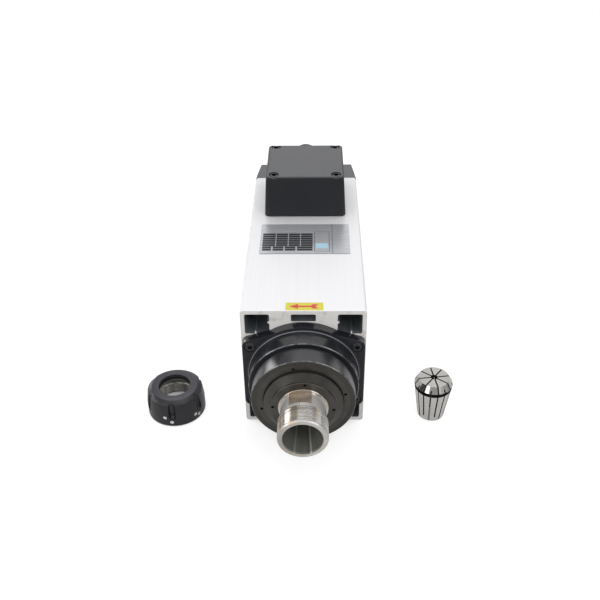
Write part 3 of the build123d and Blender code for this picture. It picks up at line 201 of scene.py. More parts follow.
# painted shade: the lift is lost where the paper is shut in, as inside the nut and the collet
open_sky = add(tree, "AmbientOcclusion", {"Distance": SHUT_IN * MM}, samples=8)
open_sky = add(tree, "MapRange", {"Value": open_sky.outputs["AO"], "From Min": 0.2,
                                  "From Max": 0.48, "To Min": 0.2})
lift = add(tree, "Math", {0: open_sky, 1: lift}, operation="MULTIPLY")
lift = add(tree, "Math", {0: seen, 1: lift}, operation="MULTIPLY")
mirrored = add(tree, "Math", {0: ray.outputs["Is Glossy Ray"], 1: near}, operation="MULTIPLY")
mirrored = add(tree, "Math", {0: mirrored, 1: PAPER_MIRRORED}, operation="MULTIPLY")
lift = add(tree, "Math", {0: lift, 1: mirrored}, operation="ADD")
glow = add(tree, "Emission", {"Color": (1, 1, 1, 1), "Strength": lift})
both = add(tree, "AddShader", {0: matt, 1: glow})
feed(tree.nodes["Material Output"], {"Surface": both})
add_piece("floor", floor_mesh, None, paper)

# ---------------------------------------------------------------- motor body
# Extruded aluminium body, clear anodised after its ends were sawn and faced.
# The die leaves faint lines along it; the faced ends are duller, and the channels inside are
# painted darker and greyer: partly the die's dull skin, partly painted shade.
EXTRUSION_LINE = 0.8          # across one faint die line
EXTRUSION_RUN = 160.0         # length before a line changes
FACING_MARK = 0.5             # between the milling marks on the ends
BROWN_PATCH = 9.0              # across a faint brown patch on the ends
BODY_EDGE = 0.4               # broken edge
CHANNEL_INSET = 1.2           # the channels lie at least this far inside the body's outline


def new_material(name, colour, metallic, roughness):
    """Start a material: its sRGB colour, how metallic it is and how rough."""
    material = bpy.data.materials.new(name)
    material.use_nodes = True
    shader = material.node_tree.nodes["Principled BSDF"]
    feed(shader, {"Base Color": linear(colour), "Metallic": metallic, "Roughness": roughness})
    return material, material.node_tree, shader


def noise(tree, grain, detail=2.0, rough=0.5):
    """Noise with grains of a size in millimetres, one for all ways or one each for X, Y and Z."""
    sizes = grain if isinstance(grain, tuple) else (grain, grain, grain)
    place = add(tree, "TexCoord", {})
    scaled = add(tree, "VectorMath", {0: place.outputs["Object"],
                                      1: [1 / (size * MM) for size in sizes]}, operation="MULTIPLY")
    return add(tree, "TexNoise", {"Vector": scaled, "Scale": 1.0, "Detail": detail,
                                  "Roughness": rough})


def bump(tree, shader, height, depth, edge=0.0):
    """Feed a shader's normal from a height pattern and a broken edge, both sized in millimetres."""
    bumped = add(tree, "Bump", {"Height": height, "Distance": depth * MM, "Strength": 1.0})
    if edge:
        broken = add(tree, "Bevel", {"Radius": edge * MM}, samples=6)
        feed(bumped, {"Normal": broken})
    feed(shader, {"Normal": bumped})


def paint(material, *names):
    """Give CAD nodes a material."""
    for name in names:
        for place in nodes[name].material_slots:
            place.material = material


body_metal, tree, shader = new_material("clear_anodised_extrusion", "#f2f2f4", 0.3, 0.45)
lines = noise(tree, (EXTRUSION_LINE, EXTRUSION_RUN, EXTRUSION_LINE), 3.0)
facing = noise(tree, (FACING_MARK * 30, FACING_MARK * 30, FACING_MARK), 2.0)
cloud = noise(tree, 45, 1.0)
side = add(tree, "NewGeometry", {})
turned_to = add(tree, "SeparateXYZ", {0: side.outputs["Normal"]})
facing_end = add(tree, "Math", {0: turned_to.outputs["Y"]}, operation="ABSOLUTE")
is_end = add(tree, "MapRange", {"Value": facing_end, "From Min": 0.85, "From Max": 0.95})
drawn = add(tree, "Mix", {0: lines, 6: linear("#ececee"), 7: linear("#f8f8fa")}, data_type="RGBA")
brown_patched = add(tree, "MapRange", {"Value": noise(tree, BROWN_PATCH, 4.0, 0.6), "From Min": 0.55,
                                 "From Max": 0.75, "To Max": 0.6})
faced = add(tree, "Mix", {0: cloud, 6: linear("#f1efeb"), 7: linear("#faf9f6")}, data_type="RGBA")
faced = add(tree, "Mix", {0: brown_patched, 6: faced, 7: linear("#b5a696")}, data_type="RGBA")
colour = add(tree, "Mix", {0: is_end, 6: drawn, 7: faced}, data_type="RGBA")
place = add(tree, "TexCoord", {})
split = add(tree, "SeparateXYZ", {0: place.outputs["Object"]})
body_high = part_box("motor_housing")[1]
across = add(tree, "Math", {0: split.outputs["X"]}, operation="ABSOLUTE")
across = add(tree, "Math", {0: across, 1: body_high.x - CHANNEL_INSET * MM}, operation="LESS_THAN")
high = add(tree, "Math", {0: split.outputs["Z"], 1: body_high.z / 2,
                          2: body_high.z / 2 - CHANNEL_INSET * MM}, operation="COMPARE")
not_end = add(tree, "Math", {0: 1.0, 1: is_end}, operation="SUBTRACT")
inside = add(tree, "Math", {0: across, 1: high}, operation="MULTIPLY")
inside = add(tree, "Math", {0: inside, 1: not_end}, operation="MULTIPLY")
# painted shade: the channels inside are painted darker and greyer, partly as the die's dull skin
colour = add(tree, "Mix", {0: inside, 6: colour, 7: linear("#aab1b5")}, data_type="RGBA")
plain = add(tree, "MapRange", {"Value": is_end, "To Min": 0.3, "To Max": 0.0})
metal = add(tree, "Mix", {0: inside, 2: plain, 3: 0.7})
satin = add(tree, "MapRange", {"Value": lines, "To Min": 0.40, "To Max": 0.50})
dull = add(tree, "MapRange", {"Value": facing, "To Min": 0.42, "To Max": 0.56})
rough = add(tree, "Mix", {0: is_end, 2: satin, 3: dull})
rough = add(tree, "Mix", {0: inside, 2: rough, 3: 0.3})
feed(shader, {"Base Color": colour, "Metallic": metal, "Roughness": rough})
relief = add(tree, "Mix", {0: is_end, 2: lines, 3: facing})
bump(tree, shader, relief, 0.006, BODY_EDGE)
paint(body_metal, "motor_housing")

# ---------------------------------------------------------------- front bearing housing
# Turned aluminium flange and stepped boss, black anodised. The tool leaves fine rings, and the
# turned edges are painted as a paler line: partly film worn thin, partly painted highlight.
AXIS_UP = body_high.z / 2
FLANGE_FRONT = -0.123
NOSE_LENGTH = 33.2            # from the flange to just short of the nose's face
ROOT_LINE = 46.3              # painted highlight: the bright line round the boss's root
ROOT_LINE_HALF = 0.28
ROOT_ROUND = 3.0              # the dull round at the root reaches this far from the flange
CHAMFER_SLOPE = (0.71, 0.16)  # lean of the 45 degree edges, and how far it may be out
TURNING_RING = 0.35           # between turning rings; cut finer, drawn so that they show


def about(tree, centre, along):
    """Distance from a line through centre, and place along it; along is 0, 1 or 2 for X, Y, Z."""
    flat = [0.0 if k == along else 1.0 for k in range(3)]
    place = add(tree, "TexCoord", {})
    moved = add(tree, "VectorMath", {0: place.outputs["Object"], 1: centre}, operation="SUBTRACT")
    spread = add(tree, "VectorMath", {0: moved, 1: flat}, operation="MULTIPLY")
    away = add(tree, "VectorMath", {0: spread}, operation="LENGTH")
    parts = add(tree, "SeparateXYZ", {0: moved})
    return away, parts.outputs[along]


def turning(tree, centre, along, ring):
    """Rings that a lathe tool leaves about a line, on faces and on cylinders alike."""
    away, forward = about(tree, centre, along)
    place = add(tree, "CombineXYZ", {0: away, 1: forward})
    fine = add(tree, "VectorMath", {0: place, "Scale": 1 / (ring * MM)}, operation="SCALE")
    return add(tree, "TexNoise", {"Vector": fine, "Scale": 1.0, "Detail": 1.0, "Roughness": 0.6})


SPINDLE_LINE = (0.0, 0.0, AXIS_UP)
flange_black, tree, shader = new_material("black_anodised_aluminium_turned", "#0d0e10", 0.0, 0.2)
rings = turning(tree, SPINDLE_LINE, 1, TURNING_RING)
away, forward = about(tree, (0, FLANGE_FRONT, AXIS_UP), 1)
side = add(tree, "NewGeometry", {})
turned_to = add(tree, "SeparateXYZ", {0: side.outputs["Normal"]})
slope = add(tree, "Math", {0: turned_to.outputs["Y"]}, operation="ABSOLUTE")
# the 45 degree edges are painted paler: partly film worn thin, partly painted highlight
steep = add(tree, "Math", {0: slope, 1: CHAMFER_SLOPE[0], 2: CHAMFER_SLOPE[1]}, operation="COMPARE")
past_root = add(tree, "Math", {0: forward, 1: -ROOT_ROUND * MM}, operation="LESS_THAN")
worn_and_highlit = add(tree, "Math", {0: steep, 1: past_root}, operation="MULTIPLY")
patchy = add(tree, "MapRange", {"Value": noise(tree, 5, 3.0), "From Min": 0.42, "From Max": 0.68})
worn_and_highlit = add(tree, "Math", {0: worn_and_highlit, 1: patchy}, operation="MULTIPLY")
# painted highlight: a pale line round the boss's root, on the flange
at_root = add(tree, "Math", {0: away, 1: ROOT_LINE * MM, 2: ROOT_LINE_HALF * MM},
              operation="COMPARE")
on_flange = add(tree, "Math", {0: forward, 1: 0.0, 2: 1.2 * MM}, operation="COMPARE")
at_root = add(tree, "Math", {0: at_root, 1: on_flange}, operation="MULTIPLY")
worn_and_highlit = add(tree, "Math", {0: worn_and_highlit, 1: at_root}, operation="MAXIMUM")
film = add(tree, "Mix", {0: noise(tree, 14, 3.0), 6: linear("#1c1d21"), 7: linear("#26272c")},
           data_type="RGBA")
colour = add(tree, "Mix", {0: worn_and_highlit, 6: film, 7: linear("#7d7e82")}, data_type="RGBA")
# the turned rounds are polished, the faced sides are duller and reflect less, and the film on the
# nose's own end is mottled and brown from handling
flat_face = add(tree, "MapRange", {"Value": slope, "From Min": 0.9, "From Max": 0.97})
nose_end = add(tree, "Math", {0: forward, 1: -NOSE_LENGTH * MM}, operation="LESS_THAN")
nose_face = add(tree, "Math", {0: nose_end, 1: flat_face}, operation="MULTIPLY")
mottled = add(tree, "Mix", {0: noise(tree, 3, 4.0, 0.6), 6: linear("#2a2926"),
                            7: linear("#4b4841")}, data_type="RGBA")
colour = add(tree, "Mix", {0: nose_face, 6: colour, 7: mottled}, data_type="RGBA")
polished = add(tree, "MapRange", {"Value": rings, "To Min": 0.2, "To Max": 0.28})
matt = add(tree, "MapRange", {"Value": rings, "To Min": 0.36, "To Max": 0.46})
rough = add(tree, "Mix", {0: flat_face, 2: polished, 3: matt})
mirror = add(tree, "MapRange", {"Value": flat_face, "To Min": 1.75, "To Max": 1.4})
sloping = add(tree, "Math", {0: slope, 1: 0.5, 2: 0.42}, operation="COMPARE")
near_root = add(tree, "Math", {0: forward, 1: -ROOT_ROUND * MM}, operation="GREATER_THAN")
dull_edge = add(tree, "Math", {0: sloping, 1: near_root}, operation="MULTIPLY")
gloss = add(tree, "MapRange", {"Value": dull_edge, "To Min": 0.5, "To Max": 0.06})
feed(shader, {"Base Color": colour, "Roughness": rough, "IOR": mirror, "Specular IOR Level": gloss})
bump(tree, shader, rings, 0.0012, 0.15)
paint(flange_black, "front_bearing_housing")

# ---------------------------------------------------------------- lock ring and labyrinth disc
# Turned steel rings at the nose, blackened in hot oxide, which leaves them a worn grey-brown.
# Four small spanner holes in each take the pins of a face spanner.


def vary(tree, shader, pattern, colours, roughness=None, depth=None):
    """Let a pattern carry a finish: two colours and, where given, two roughnesses and a depth."""
    first, second = colours
    shades = {0: pattern, 6: linear(first), 7: linear(second)}
    feed(shader, {"Base Color": add(tree, "Mix", shades, data_type="RGBA")})
    if roughness:
        smooth, rough = roughness
        gloss = {"Value": pattern, "To Min": smooth, "To Max": rough}
        feed(shader, {"Roughness": add(tree, "MapRange", gloss)})
    if depth:
        bump(tree, shader, pattern, depth)


oxide, tree, shader = new_material("black_oxide_steel_turned", "#55524d", 0.75, 0.36)
rings = turning(tree, SPINDLE_LINE, 1, TURNING_RING)
vary(tree, shader, noise(tree, 9, 3.0), ("#41403e", "#5d5b57"))
feed(shader, {"Roughness": add(tree, "MapRange", {"Value": rings, "To Min": 0.26, "To Max": 0.4})})
bump(tree, shader, rings, 0.004, 0.3)
paint(oxide, "bearing_lock_ring", "labyrinth_disc")

# ---------------------------------------------------------------- spindle shaft
# Hardened steel shaft, turned and ground: a collar, a neck with two spanner flats, the nut's
# thread, and the taper socket in its mouth. It is one turned piece, with the thread cut as a helix.
SEGMENTS = 192
THREAD_PITCH = 1.5
THREAD_DEPTH = 0.75
THREAD_OUTSIDE = 20.0
# one pitch of a metric thread with its crests ground flat: crest, flank, root, flank, and how
# deep each corner lies
THREAD_CORNERS = ((0.0, 0.0), (0.44, 0.0), (0.62, 1.0), (0.82, 1.0))
NECK = 18.4
FLATS_ACROSS = 32.0
FLATS_TURN = 8.0
COLLAR = 20.2
SOCKET_MOUTH = 16.0
MOUTH_CHAMFER = 1.1
COLLAR_CHAMFER = 0.2
LIP = 1.6                     # the mouth's face and chamfer, which the tool leaves duller
# painted highlights and painted reflections streaked down the socket: sideways lean, half width,
# strength, colour
SOCKET_PAINTED_STREAKS = ((-0.25, 0.12, 0.6, "#85725f"), (0.42, 0.08, 0.5, "#f4f2ea"),
                  (-0.4, 0.06, 1.0, "#ffffff"))
SOCKET_ANGLE = 8.0
SOCKET_DEPTH = 40.0
SOCKET_BOTTOM = 10.0          # straight bore below the taper, and the drill's cone at its end
SOCKET_CONE = 6.0
BROWN_REFLECTION_LEAN = -0.34             # sideways lean of the painted brown reflection left of the shaft's top
BROWN_REFLECTION_HALF = (0.06, 0.15)       # its half width, where it starts to fade and where it ends
MOUTH_Y = -199.0
RUNOUT_Y = -181.4
NECK_END_Y = -180.5
FLATS_END_Y = -176.8
COLLAR_FRONT_Y = -164.8
COLLAR_BACK_Y = -162.0
# behind the collar, the radius of each step that bearings, rotor and fan sit on, and where it ends
SEATS = ((17.5, -111.7), (16.5, 57.0), (15.0, 102.9), (12.5, 124.4))
TAIL = 9.0
GRINDING_RING = 0.3           # between grinding rings, drawn coarser than they are
DARK_RING_SPACING = 0.9                # between darker rings painted along the shaft


def ring_of(mesh, radius, along, angles, place):
    """One ring of vertices; radius is a number or a function of the angle."""
    reach = radius if callable(radius) else (lambda angle: radius)
    return [mesh.verts.new(place(reach(angle), angle, along)) for angle in angles]


def skin(mesh, rings):
    """Join neighbouring rings with faces."""
    for low, high in zip(rings, rings[1:]):
        for k in range(len(low)):
            mesh.faces.new((low[k - 1], low[k], high[k], high[k - 1]))


def close(mesh, ring, centre):
    """Close the end of a turned piece with a fan to its middle."""
    middle = mesh.verts.new(centre)
    for k in range(len(ring)):
        mesh.faces.new((ring[k - 1], ring[k], middle))


def cut_thread(mesh, angles, start, end, crest, deeper, limit, place):
    """A helical thread between two places, its radius kept inside the limit at each end."""
    corners = len(THREAD_CORNERS)
    turns = int((end - start) / THREAD_PITCH) + 2
    columns = []
    for angle in angles:
        column = []
        for row in range(corners * turns + corners):
            phase, depth = THREAD_CORNERS[row % corners]
            along = start + THREAD_PITCH * (row // corners + phase + angle / (2 * pi) - 1)
            along = min(max(along, start), end)
            radius = limit(along, crest + deeper * THREAD_DEPTH * depth)
            column.append(mesh.verts.new(place(radius, angle, along)))
        columns.append(column)
    columns.append(columns[0][corners:])
    for left, right in zip(columns, columns[1:]):
        for low in range(corners * turns - 1):
            mesh.faces.new((left[low], right[low], right[low + 1], left[low + 1]))


def outwards(mesh, name):
    """A mesh that is ready for the scene, with its faces turned outwards."""
    bmesh.ops.recalc_face_normals(mesh, faces=mesh.faces)
    done = bpy.data.meshes.new(name)
    mesh.to_mesh(done)
    mesh.free()
    return done


def finished(mesh, name, sharp=30.0):
    """A turned mesh with its seams joined, smooth but for its sharp edges."""
    bmesh.ops.remove_doubles(mesh, verts=mesh.verts, dist=0.002 * MM)
    bmesh.ops.dissolve_degenerate(mesh, edges=mesh.edges, dist=0.001 * MM)
    done = outwards(mesh, name)
    for face in done.polygons:
        face.use_smooth = True
    done.set_sharp_from_angle(angle=radians(sharp))
    return done


def on_spindle(radius, angle, along):
    """A point about the spindle's line, from millimetres."""
    return (radius * cos(angle) * MM, along * MM, AXIS_UP + radius * sin(angle) * MM)


def flats(angle):
    """The neck's radius at an angle, where two spanner flats are milled on it."""
    turn = angle - radians(90 + FLATS_TURN)
    lean = abs((turn + pi / 2) % pi - pi / 2)
    return min(NECK, FLATS_ACROSS / 2 / cos(lean)) if lean < pi / 3 else NECK


def shaft_mesh():
    """The whole shaft, from its socket round the mouth and back to the tail."""
    half = acos(FLATS_ACROSS / 2 / NECK)
    edges = [radians(90 + FLATS_TURN + turn) + side * half for turn in (0, 180) for side in (-1, 1)]
    rim = [2 * pi * k / SEGMENTS for k in range(SEGMENTS)]
    angles = sorted(rim + [edge % (2 * pi) for edge in edges])
    bore = SOCKET_MOUTH - SOCKET_DEPTH * tan(radians(SOCKET_ANGLE))
    tail_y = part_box("spindle_shaft")[1].y / MM
    front = [(bore, MOUTH_Y + SOCKET_DEPTH + SOCKET_BOTTOM), (bore, MOUTH_Y + SOCKET_DEPTH),
             (SOCKET_MOUTH, MOUTH_Y), (THREAD_OUTSIDE - MOUTH_CHAMFER, MOUTH_Y)]
    back = [(NECK, NECK_END_Y), (NECK, FLATS_END_Y), (flats, FLATS_END_Y), (flats, COLLAR_FRONT_Y),
            (COLLAR - COLLAR_CHAMFER, COLLAR_FRONT_Y), (COLLAR, COLLAR_FRONT_Y + COLLAR_CHAMFER),
            (COLLAR, COLLAR_BACK_Y)]
    for radius, end in SEATS + ((TAIL, tail_y),):
        back += [(radius, back[-1][1]), (radius, end)]
    mesh = bmesh.new()
    for rows, end, cone in ((front, 0, SOCKET_CONE), (back, -1, 0)):
        rings = [ring_of(mesh, radius, along, angles, on_spindle) for radius, along in rows]
        skin(mesh, rings)
        close(mesh, rings[end], on_spindle(0, 0, rows[end][1] + cone))
    cut_thread(mesh, angles, MOUTH_Y, NECK_END_Y, THREAD_OUTSIDE, -1, thread_limit, on_spindle)
    return finished(mesh, "spindle_shaft", sharp=15.0)


def thread_limit(along, radius):
    """Keep the thread inside the mouth's chamfer and the run-out cone behind it."""
    mouth = THREAD_OUTSIDE - MOUTH_CHAMFER + max(0.0, along - MOUTH_Y)
    runout = NECK + (THREAD_OUTSIDE - NECK) * (NECK_END_Y - along) / (NECK_END_Y - RUNOUT_Y)
    return min(radius, mouth, runout)


def ground_round(tree, shader, axis):
    """Draw reflections out round an axis, as the fine rings of a grinding wheel do."""
    around = add(tree, "Tangent", {}, direction_type="RADIAL", axis=axis)
    feed(shader, {"Anisotropic": 0.6, "Anisotropic Rotation": 0.25, "Tangent": around})


steel, tree, shader = new_material("ground_steel_spindle", "#c8c5c0", 0.8, 0.24)
rings = turning(tree, SPINDLE_LINE, 1, GRINDING_RING)
stain = noise(tree, 12, 3.0)
bright = add(tree, "Mix", {0: stain, 6: linear("#cfcbc5"), 7: linear("#dcdbda")}, data_type="RGBA")
# tan patches laid at random on the shaft
tan_patches = add(tree, "MapRange", {"Value": noise(tree, (8, 30, 8), 2.0), "From Min": 0.45,
                                "From Max": 0.68, "To Max": 0.75})
colour = add(tree, "Mix", {0: tan_patches, 6: bright, 7: linear("#d0c2b0")}, data_type="RGBA")
# these painted reflections turn with the shaft, so they are placed by its own normals
own = add(tree, "TexCoord", {})
aim = add(tree, "SeparateXYZ", {0: own.outputs["Normal"]}).outputs["X"]
painted_brown_reflection = add(tree, "Math", {0: aim, 1: BROWN_REFLECTION_LEAN}, operation="SUBTRACT")
painted_brown_reflection = add(tree, "Math", {0: painted_brown_reflection}, operation="ABSOLUTE")
painted_brown_reflection = add(tree, "MapRange", {"Value": painted_brown_reflection, "From Min": BROWN_REFLECTION_HALF[0],
                                  "From Max": BROWN_REFLECTION_HALF[1], "To Min": 0.6, "To Max": 0.0})
colour = add(tree, "Mix", {0: painted_brown_reflection, 6: colour, 7: linear("#bda283")}, data_type="RGBA")
dark_rings = add(tree, "MapRange", {"Value": noise(tree, (60, DARK_RING_SPACING, 60), 2.0), "From Min": 0.5,
                              "From Max": 0.7, "To Max": 0.55})
colour = add(tree, "Mix", {0: dark_rings, 6: colour, 7: linear("#7d7a76")}, data_type="RGBA")
# the neck is ground bright and even, its flats are painted brown as a painted reflection, and the
# taper socket is darker and streaked along its length with painted highlights and painted
# reflections
away, forward = about(tree, SPINDLE_LINE, 1)
middle = (NECK_END_Y + COLLAR_FRONT_Y) / 2
on_neck = add(tree, "Math", {0: forward, 1: middle * MM, 2: (COLLAR_FRONT_Y - middle - 0.05) * MM},
              operation="COMPARE")
colour = add(tree, "Mix", {0: on_neck, 6: colour, 7: linear("#dfdcd8")}, data_type="RGBA")
flat_way = [cos(radians(90 + FLATS_TURN)), 0.0, sin(radians(90 + FLATS_TURN))]
side = add(tree, "NewGeometry", {})
facing = add(tree, "VectorTransform", {0: side.outputs["True Normal"]}, vector_type="NORMAL",
             convert_from="WORLD", convert_to="OBJECT")
leaning = add(tree, "VectorMath", {0: facing, 1: flat_way}, operation="DOT_PRODUCT")
leaning = add(tree, "Math", {0: leaning}, operation="ABSOLUTE")
on_flat = add(tree, "Math", {0: leaning, 1: 0.9999}, operation="GREATER_THAN")
on_flat = add(tree, "Math", {0: on_flat, 1: on_neck}, operation="MULTIPLY")
# painted reflection: the flats are painted brown
painted_flat_reflection = add(tree, "Mix", {0: noise(tree, 4, 3.0), 6: linear("#93826f"), 7: linear("#bdafa0")},
              data_type="RGBA")
colour = add(tree, "Mix", {0: on_flat, 6: colour, 7: painted_flat_reflection}, data_type="RGBA")
bored = add(tree, "Math", {0: away, 1: SOCKET_MOUTH * MM}, operation="LESS_THAN")
# painted reflections: the socket is darker, streaked along its length, with painted highlights and
# reflections
polished = add(tree, "Mix", {0: noise(tree, (2.2, 40, 2.2), 2.0), 6: linear("#85867f"),
                             7: linear("#a9a9a2")}, data_type="RGBA")
for middle, half, strength, shade in SOCKET_PAINTED_STREAKS:
    off = add(tree, "Math", {0: aim, 1: middle}, operation="SUBTRACT")
    off = add(tree, "Math", {0: off}, operation="ABSOLUTE")
    off = add(tree, "MapRange", {"Value": off, "From Max": half, "To Min": strength, "To Max": 0.0})
    polished = add(tree, "Mix", {0: off, 6: polished, 7: linear(shade)}, data_type="RGBA")
colour = add(tree, "Mix", {0: bored, 6: colour, 7: polished}, data_type="RGBA")
softer = add(tree, "Math", {0: bored, 1: on_neck}, operation="MAXIMUM")
metal = add(tree, "MapRange", {"Value": softer, "To Min": 0.9, "To Max": 0.55})
# the mouth's face and chamfer are duller than the ground rest
lip = add(tree, "Math", {0: forward, 1: (MOUTH_Y + LIP) * MM}, operation="LESS_THAN")
duller = add(tree, "Math", {0: lip, 1: 0.3}, operation="MULTIPLY")
ground = add(tree, "MapRange", {"Value": rings, "To Min": 0.13, "To Max": 0.22})
ground = add(tree, "Math", {0: ground, 1: duller}, operation="ADD")
feed(shader, {"Base Color": colour, "Metallic": metal, "Roughness": ground})
ground_round(tree, shader, "Y")
bump(tree, shader, rings, 0.0012)
shaft = add_piece("shaft", shaft_mesh(), "rotor", steel)
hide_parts("spindle_shaft")

# ---------------------------------------------------------------- screws
# Cold headed alloy steel screws with hexagon sockets, hardened, with a thin black phosphate
# finish that is a little oily: dull black with a fine grey speck.
SCREW_SPECK = 0.4
screw_black, tree, shader = new_material("black_phosphate_screw_steel", "#38393b", 0.6, 0.42)
vary(tree, shader, noise(tree, SCREW_SPECK, 3.0), ("#323335", "#4c4d50"), (0.34, 0.5))
paint(screw_black, "flange_screws", "rear_plate_screws", "fan_cover_screws", "box_base_screws")

# the lid's screws are greyer on their heads, and painted black in and round their hexagon sockets,
# as painted shade
LID_HEAD = 3.5
LID_SOCKET = 2.5
LID_SOCKET_DEEP = 0.35        # below the heads' tops, all is painted black, as the sockets' painted shade
screw_grey, tree, shader = new_material("grey_phosphate_screw_steel", "#6a6b6e", 0.6, 0.45)
speck = noise(tree, SCREW_SPECK, 3.0)
place = add(tree, "TexCoord", {})
split = add(tree, "SeparateXYZ", {0: place.outputs["Object"]})
heads_low, heads_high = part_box("box_cover_screws")
heads = (heads_low + heads_high) / 2
sunk = add(tree, "Math", {0: split.outputs["Z"], 1: heads_high.z - LID_SOCKET_DEEP * MM},
           operation="LESS_THAN")
off_centre = add(tree, "VectorMath", {0: place.outputs["Object"], 1: (heads.x, heads.y, 0)},
                 operation="SUBTRACT")
quarter = add(tree, "VectorMath", {0: off_centre}, operation="ABSOLUTE")
corner = (heads_high.x - heads.x - LID_HEAD * MM, heads_high.y - heads.y - LID_HEAD * MM, 0)
reach = add(tree, "VectorMath", {0: quarter, 1: corner}, operation="SUBTRACT")
reach = add(tree, "VectorMath", {0: reach, 1: (1, 1, 0)}, operation="MULTIPLY")
reach = add(tree, "VectorMath", {0: reach}, operation="LENGTH")
socket = add(tree, "Math", {0: reach, 1: LID_SOCKET * MM}, operation="LESS_THAN")
sunk = add(tree, "Math", {0: sunk, 1: socket}, operation="MAXIMUM")
head_grey = add(tree, "Mix", {0: speck, 6: linear("#5e5f62"), 7: linear("#76777a")},
                data_type="RGBA")
colour = add(tree, "Mix", {0: sunk, 6: head_grey, 7: linear("#0c0c0d")}, data_type="RGBA")
metal = add(tree, "MapRange", {"Value": sunk, "To Min": 0.6, "To Max": 0.0})
gloss = add(tree, "MapRange", {"Value": sunk, "To Min": 0.5, "To Max": 0.0})
rough = add(tree, "MapRange", {"Value": speck, "To Min": 0.38, "To Max": 0.52})
feed(shader, {"Base Color": colour, "Metallic": metal, "Specular IOR Level": gloss,
              "Roughness": rough})
paint(screw_grey, "box_cover_screws")

# ---------------------------------------------------------------- fan cover and terminal box
# Injection moulded ABS hoods in dark grey, with the fine spark texture of their moulds.
# The box stands on a flat tray of the same plastic, with a rubber gasket between them.
SPARK_GRAIN = 0.45            # the mould's texture; finer in fact, drawn so that it shows
SOFT_EDGE = 2.2
abs_grey, tree, shader = new_material("moulded_abs_textured", "#26272a", 0.0, 0.48)
grain = noise(tree, SPARK_GRAIN, 4.0, 0.65)
flow = noise(tree, 30, 2.0)
# painted light: the faces that look up are painted greyer, and they are shinier; moulded edges are
# soft
soft = add(tree, "Bevel", {"Radius": SOFT_EDGE * MM}, samples=6)
turned_to = add(tree, "SeparateXYZ", {0: soft})
upper = add(tree, "MapRange", {"Value": turned_to.outputs["Z"], "From Min": 0.55, "From Max": 0.95})
moulded = add(tree, "Mix", {0: flow, 6: linear("#1c1d21"), 7: linear("#242529")}, data_type="RGBA")
painted_top_grey = add(tree, "Mix", {0: flow, 6: linear("#424347"), 7: linear("#4b4c50")}, data_type="RGBA")
colour = add(tree, "Mix", {0: upper, 6: moulded, 7: painted_top_grey}, data_type="RGBA")
rough = add(tree, "MapRange", {"Value": grain, "To Min": 0.4, "To Max": 0.58})
gloss = add(tree, "MapRange", {"Value": upper, "To Min": 0.3, "To Max": 1.0})
feed(shader, {"Base Color": colour, "Roughness": rough, "Specular IOR Level": gloss})
bump(tree, shader, grain, 0.04, SOFT_EDGE)
paint(abs_grey, "fan_cover", "terminal_box_cover", "terminal_box_base")

rubber, tree, shader = new_material("nitrile_rubber_cut", "#161616", 0.0, 0.75)
vary(tree, shader, noise(tree, 0.3, 3.0), ("#121212", "#1d1d1d"), depth=0.02)
paint(rubber, "terminal_box_gasket", "gland_seal")

# ---------------------------------------------------------------- cable gland
# Injection moulded black nylon gland in the box's rear wall: a hexagon body, a domed clamping nut
# and, inside the wall, a locknut. The fan on the shaft's tail is moulded of the same nylon.
nylon, tree, shader = new_material("moulded_nylon_black", "#1a1a1b", 0.0, 0.38)
vary(tree, shader, noise(tree, 0.6, 2.0), ("#171718", "#202021"), (0.32, 0.46), 0.008)
paint(nylon, "gland_body", "gland_locknut", "gland_cap", "cooling_fan")

# ---------------------------------------------------------------- terminals inside the box
# A moulded phenolic board, brown and faintly mottled, with turned brass studs and nuts and a
# brass earth screw. Three leads in red silicone come up to it from the winding.
brass, tree, shader = new_material("turned_brass", "#c9a45c", 1.0, 0.28)
vary(tree, shader, noise(tree, 0.3, 2.0), ("#b98f47", "#d7b670"), (0.22, 0.36))
paint(brass, "terminal_studs", "terminal_nuts", "earth_screw")

phenolic, tree, shader = new_material("phenolic_moulded_board", "#3a2418", 0.0, 0.4)
vary(tree, shader, noise(tree, 1.2, 4.0), ("#33201a", "#4a3022"), (0.34, 0.5))
paint(phenolic, "terminal_board")

lead_skin, tree, shader = new_material("silicone_lead_insulation", "#8c2a20", 0.0, 0.5)
vary(tree, shader, noise(tree, (0.8, 0.8, 3.0), 2.0), ("#7f251c", "#9a3126"), depth=0.01)
paint(lead_skin, "winding_leads")

# ---------------------------------------------------------------- bearings and what holds them
# Races and spacers of hardened bearing steel, ground bright. The cages are cotton cloth set in
# phenolic resin, brown and matt. A blackened slotted locknut and a blued disc spring hold them.
bearing, tree, shader = new_material("ground_bearing_steel", "#b8b8b8", 1.0, 0.2)
vary(tree, shader, turning(tree, SPINDLE_LINE, 1, GRINDING_RING), ("#adadad", "#c6c6c6"),
     (0.14, 0.28))
paint(bearing, "front_bearing_outer_races", "outer_race_spacer", "front_bearing_inner_races",
      "inner_race_spacer", "rear_bearing_outer_race", "rear_bearing_inner_race")
paint(oxide, "shaft_locknut")

cage, tree, shader = new_material("cotton_phenolic_cage", "#7a5a34", 0.0, 0.6)
vary(tree, shader, noise(tree, 0.5, 3.0), ("#6d4e2c", "#8a683f"), depth=0.02)
paint(cage, "front_bearing_cages", "rear_bearing_cage")

spring, tree, shader = new_material("spring_steel_blued", "#55585e", 1.0, 0.34)
vary(tree, shader, turning(tree, SPINDLE_LINE, 1, 0.4), ("#4b4e54", "#666a70"), (0.28, 0.42))
paint(spring, "preload_spring", "fan_clip")

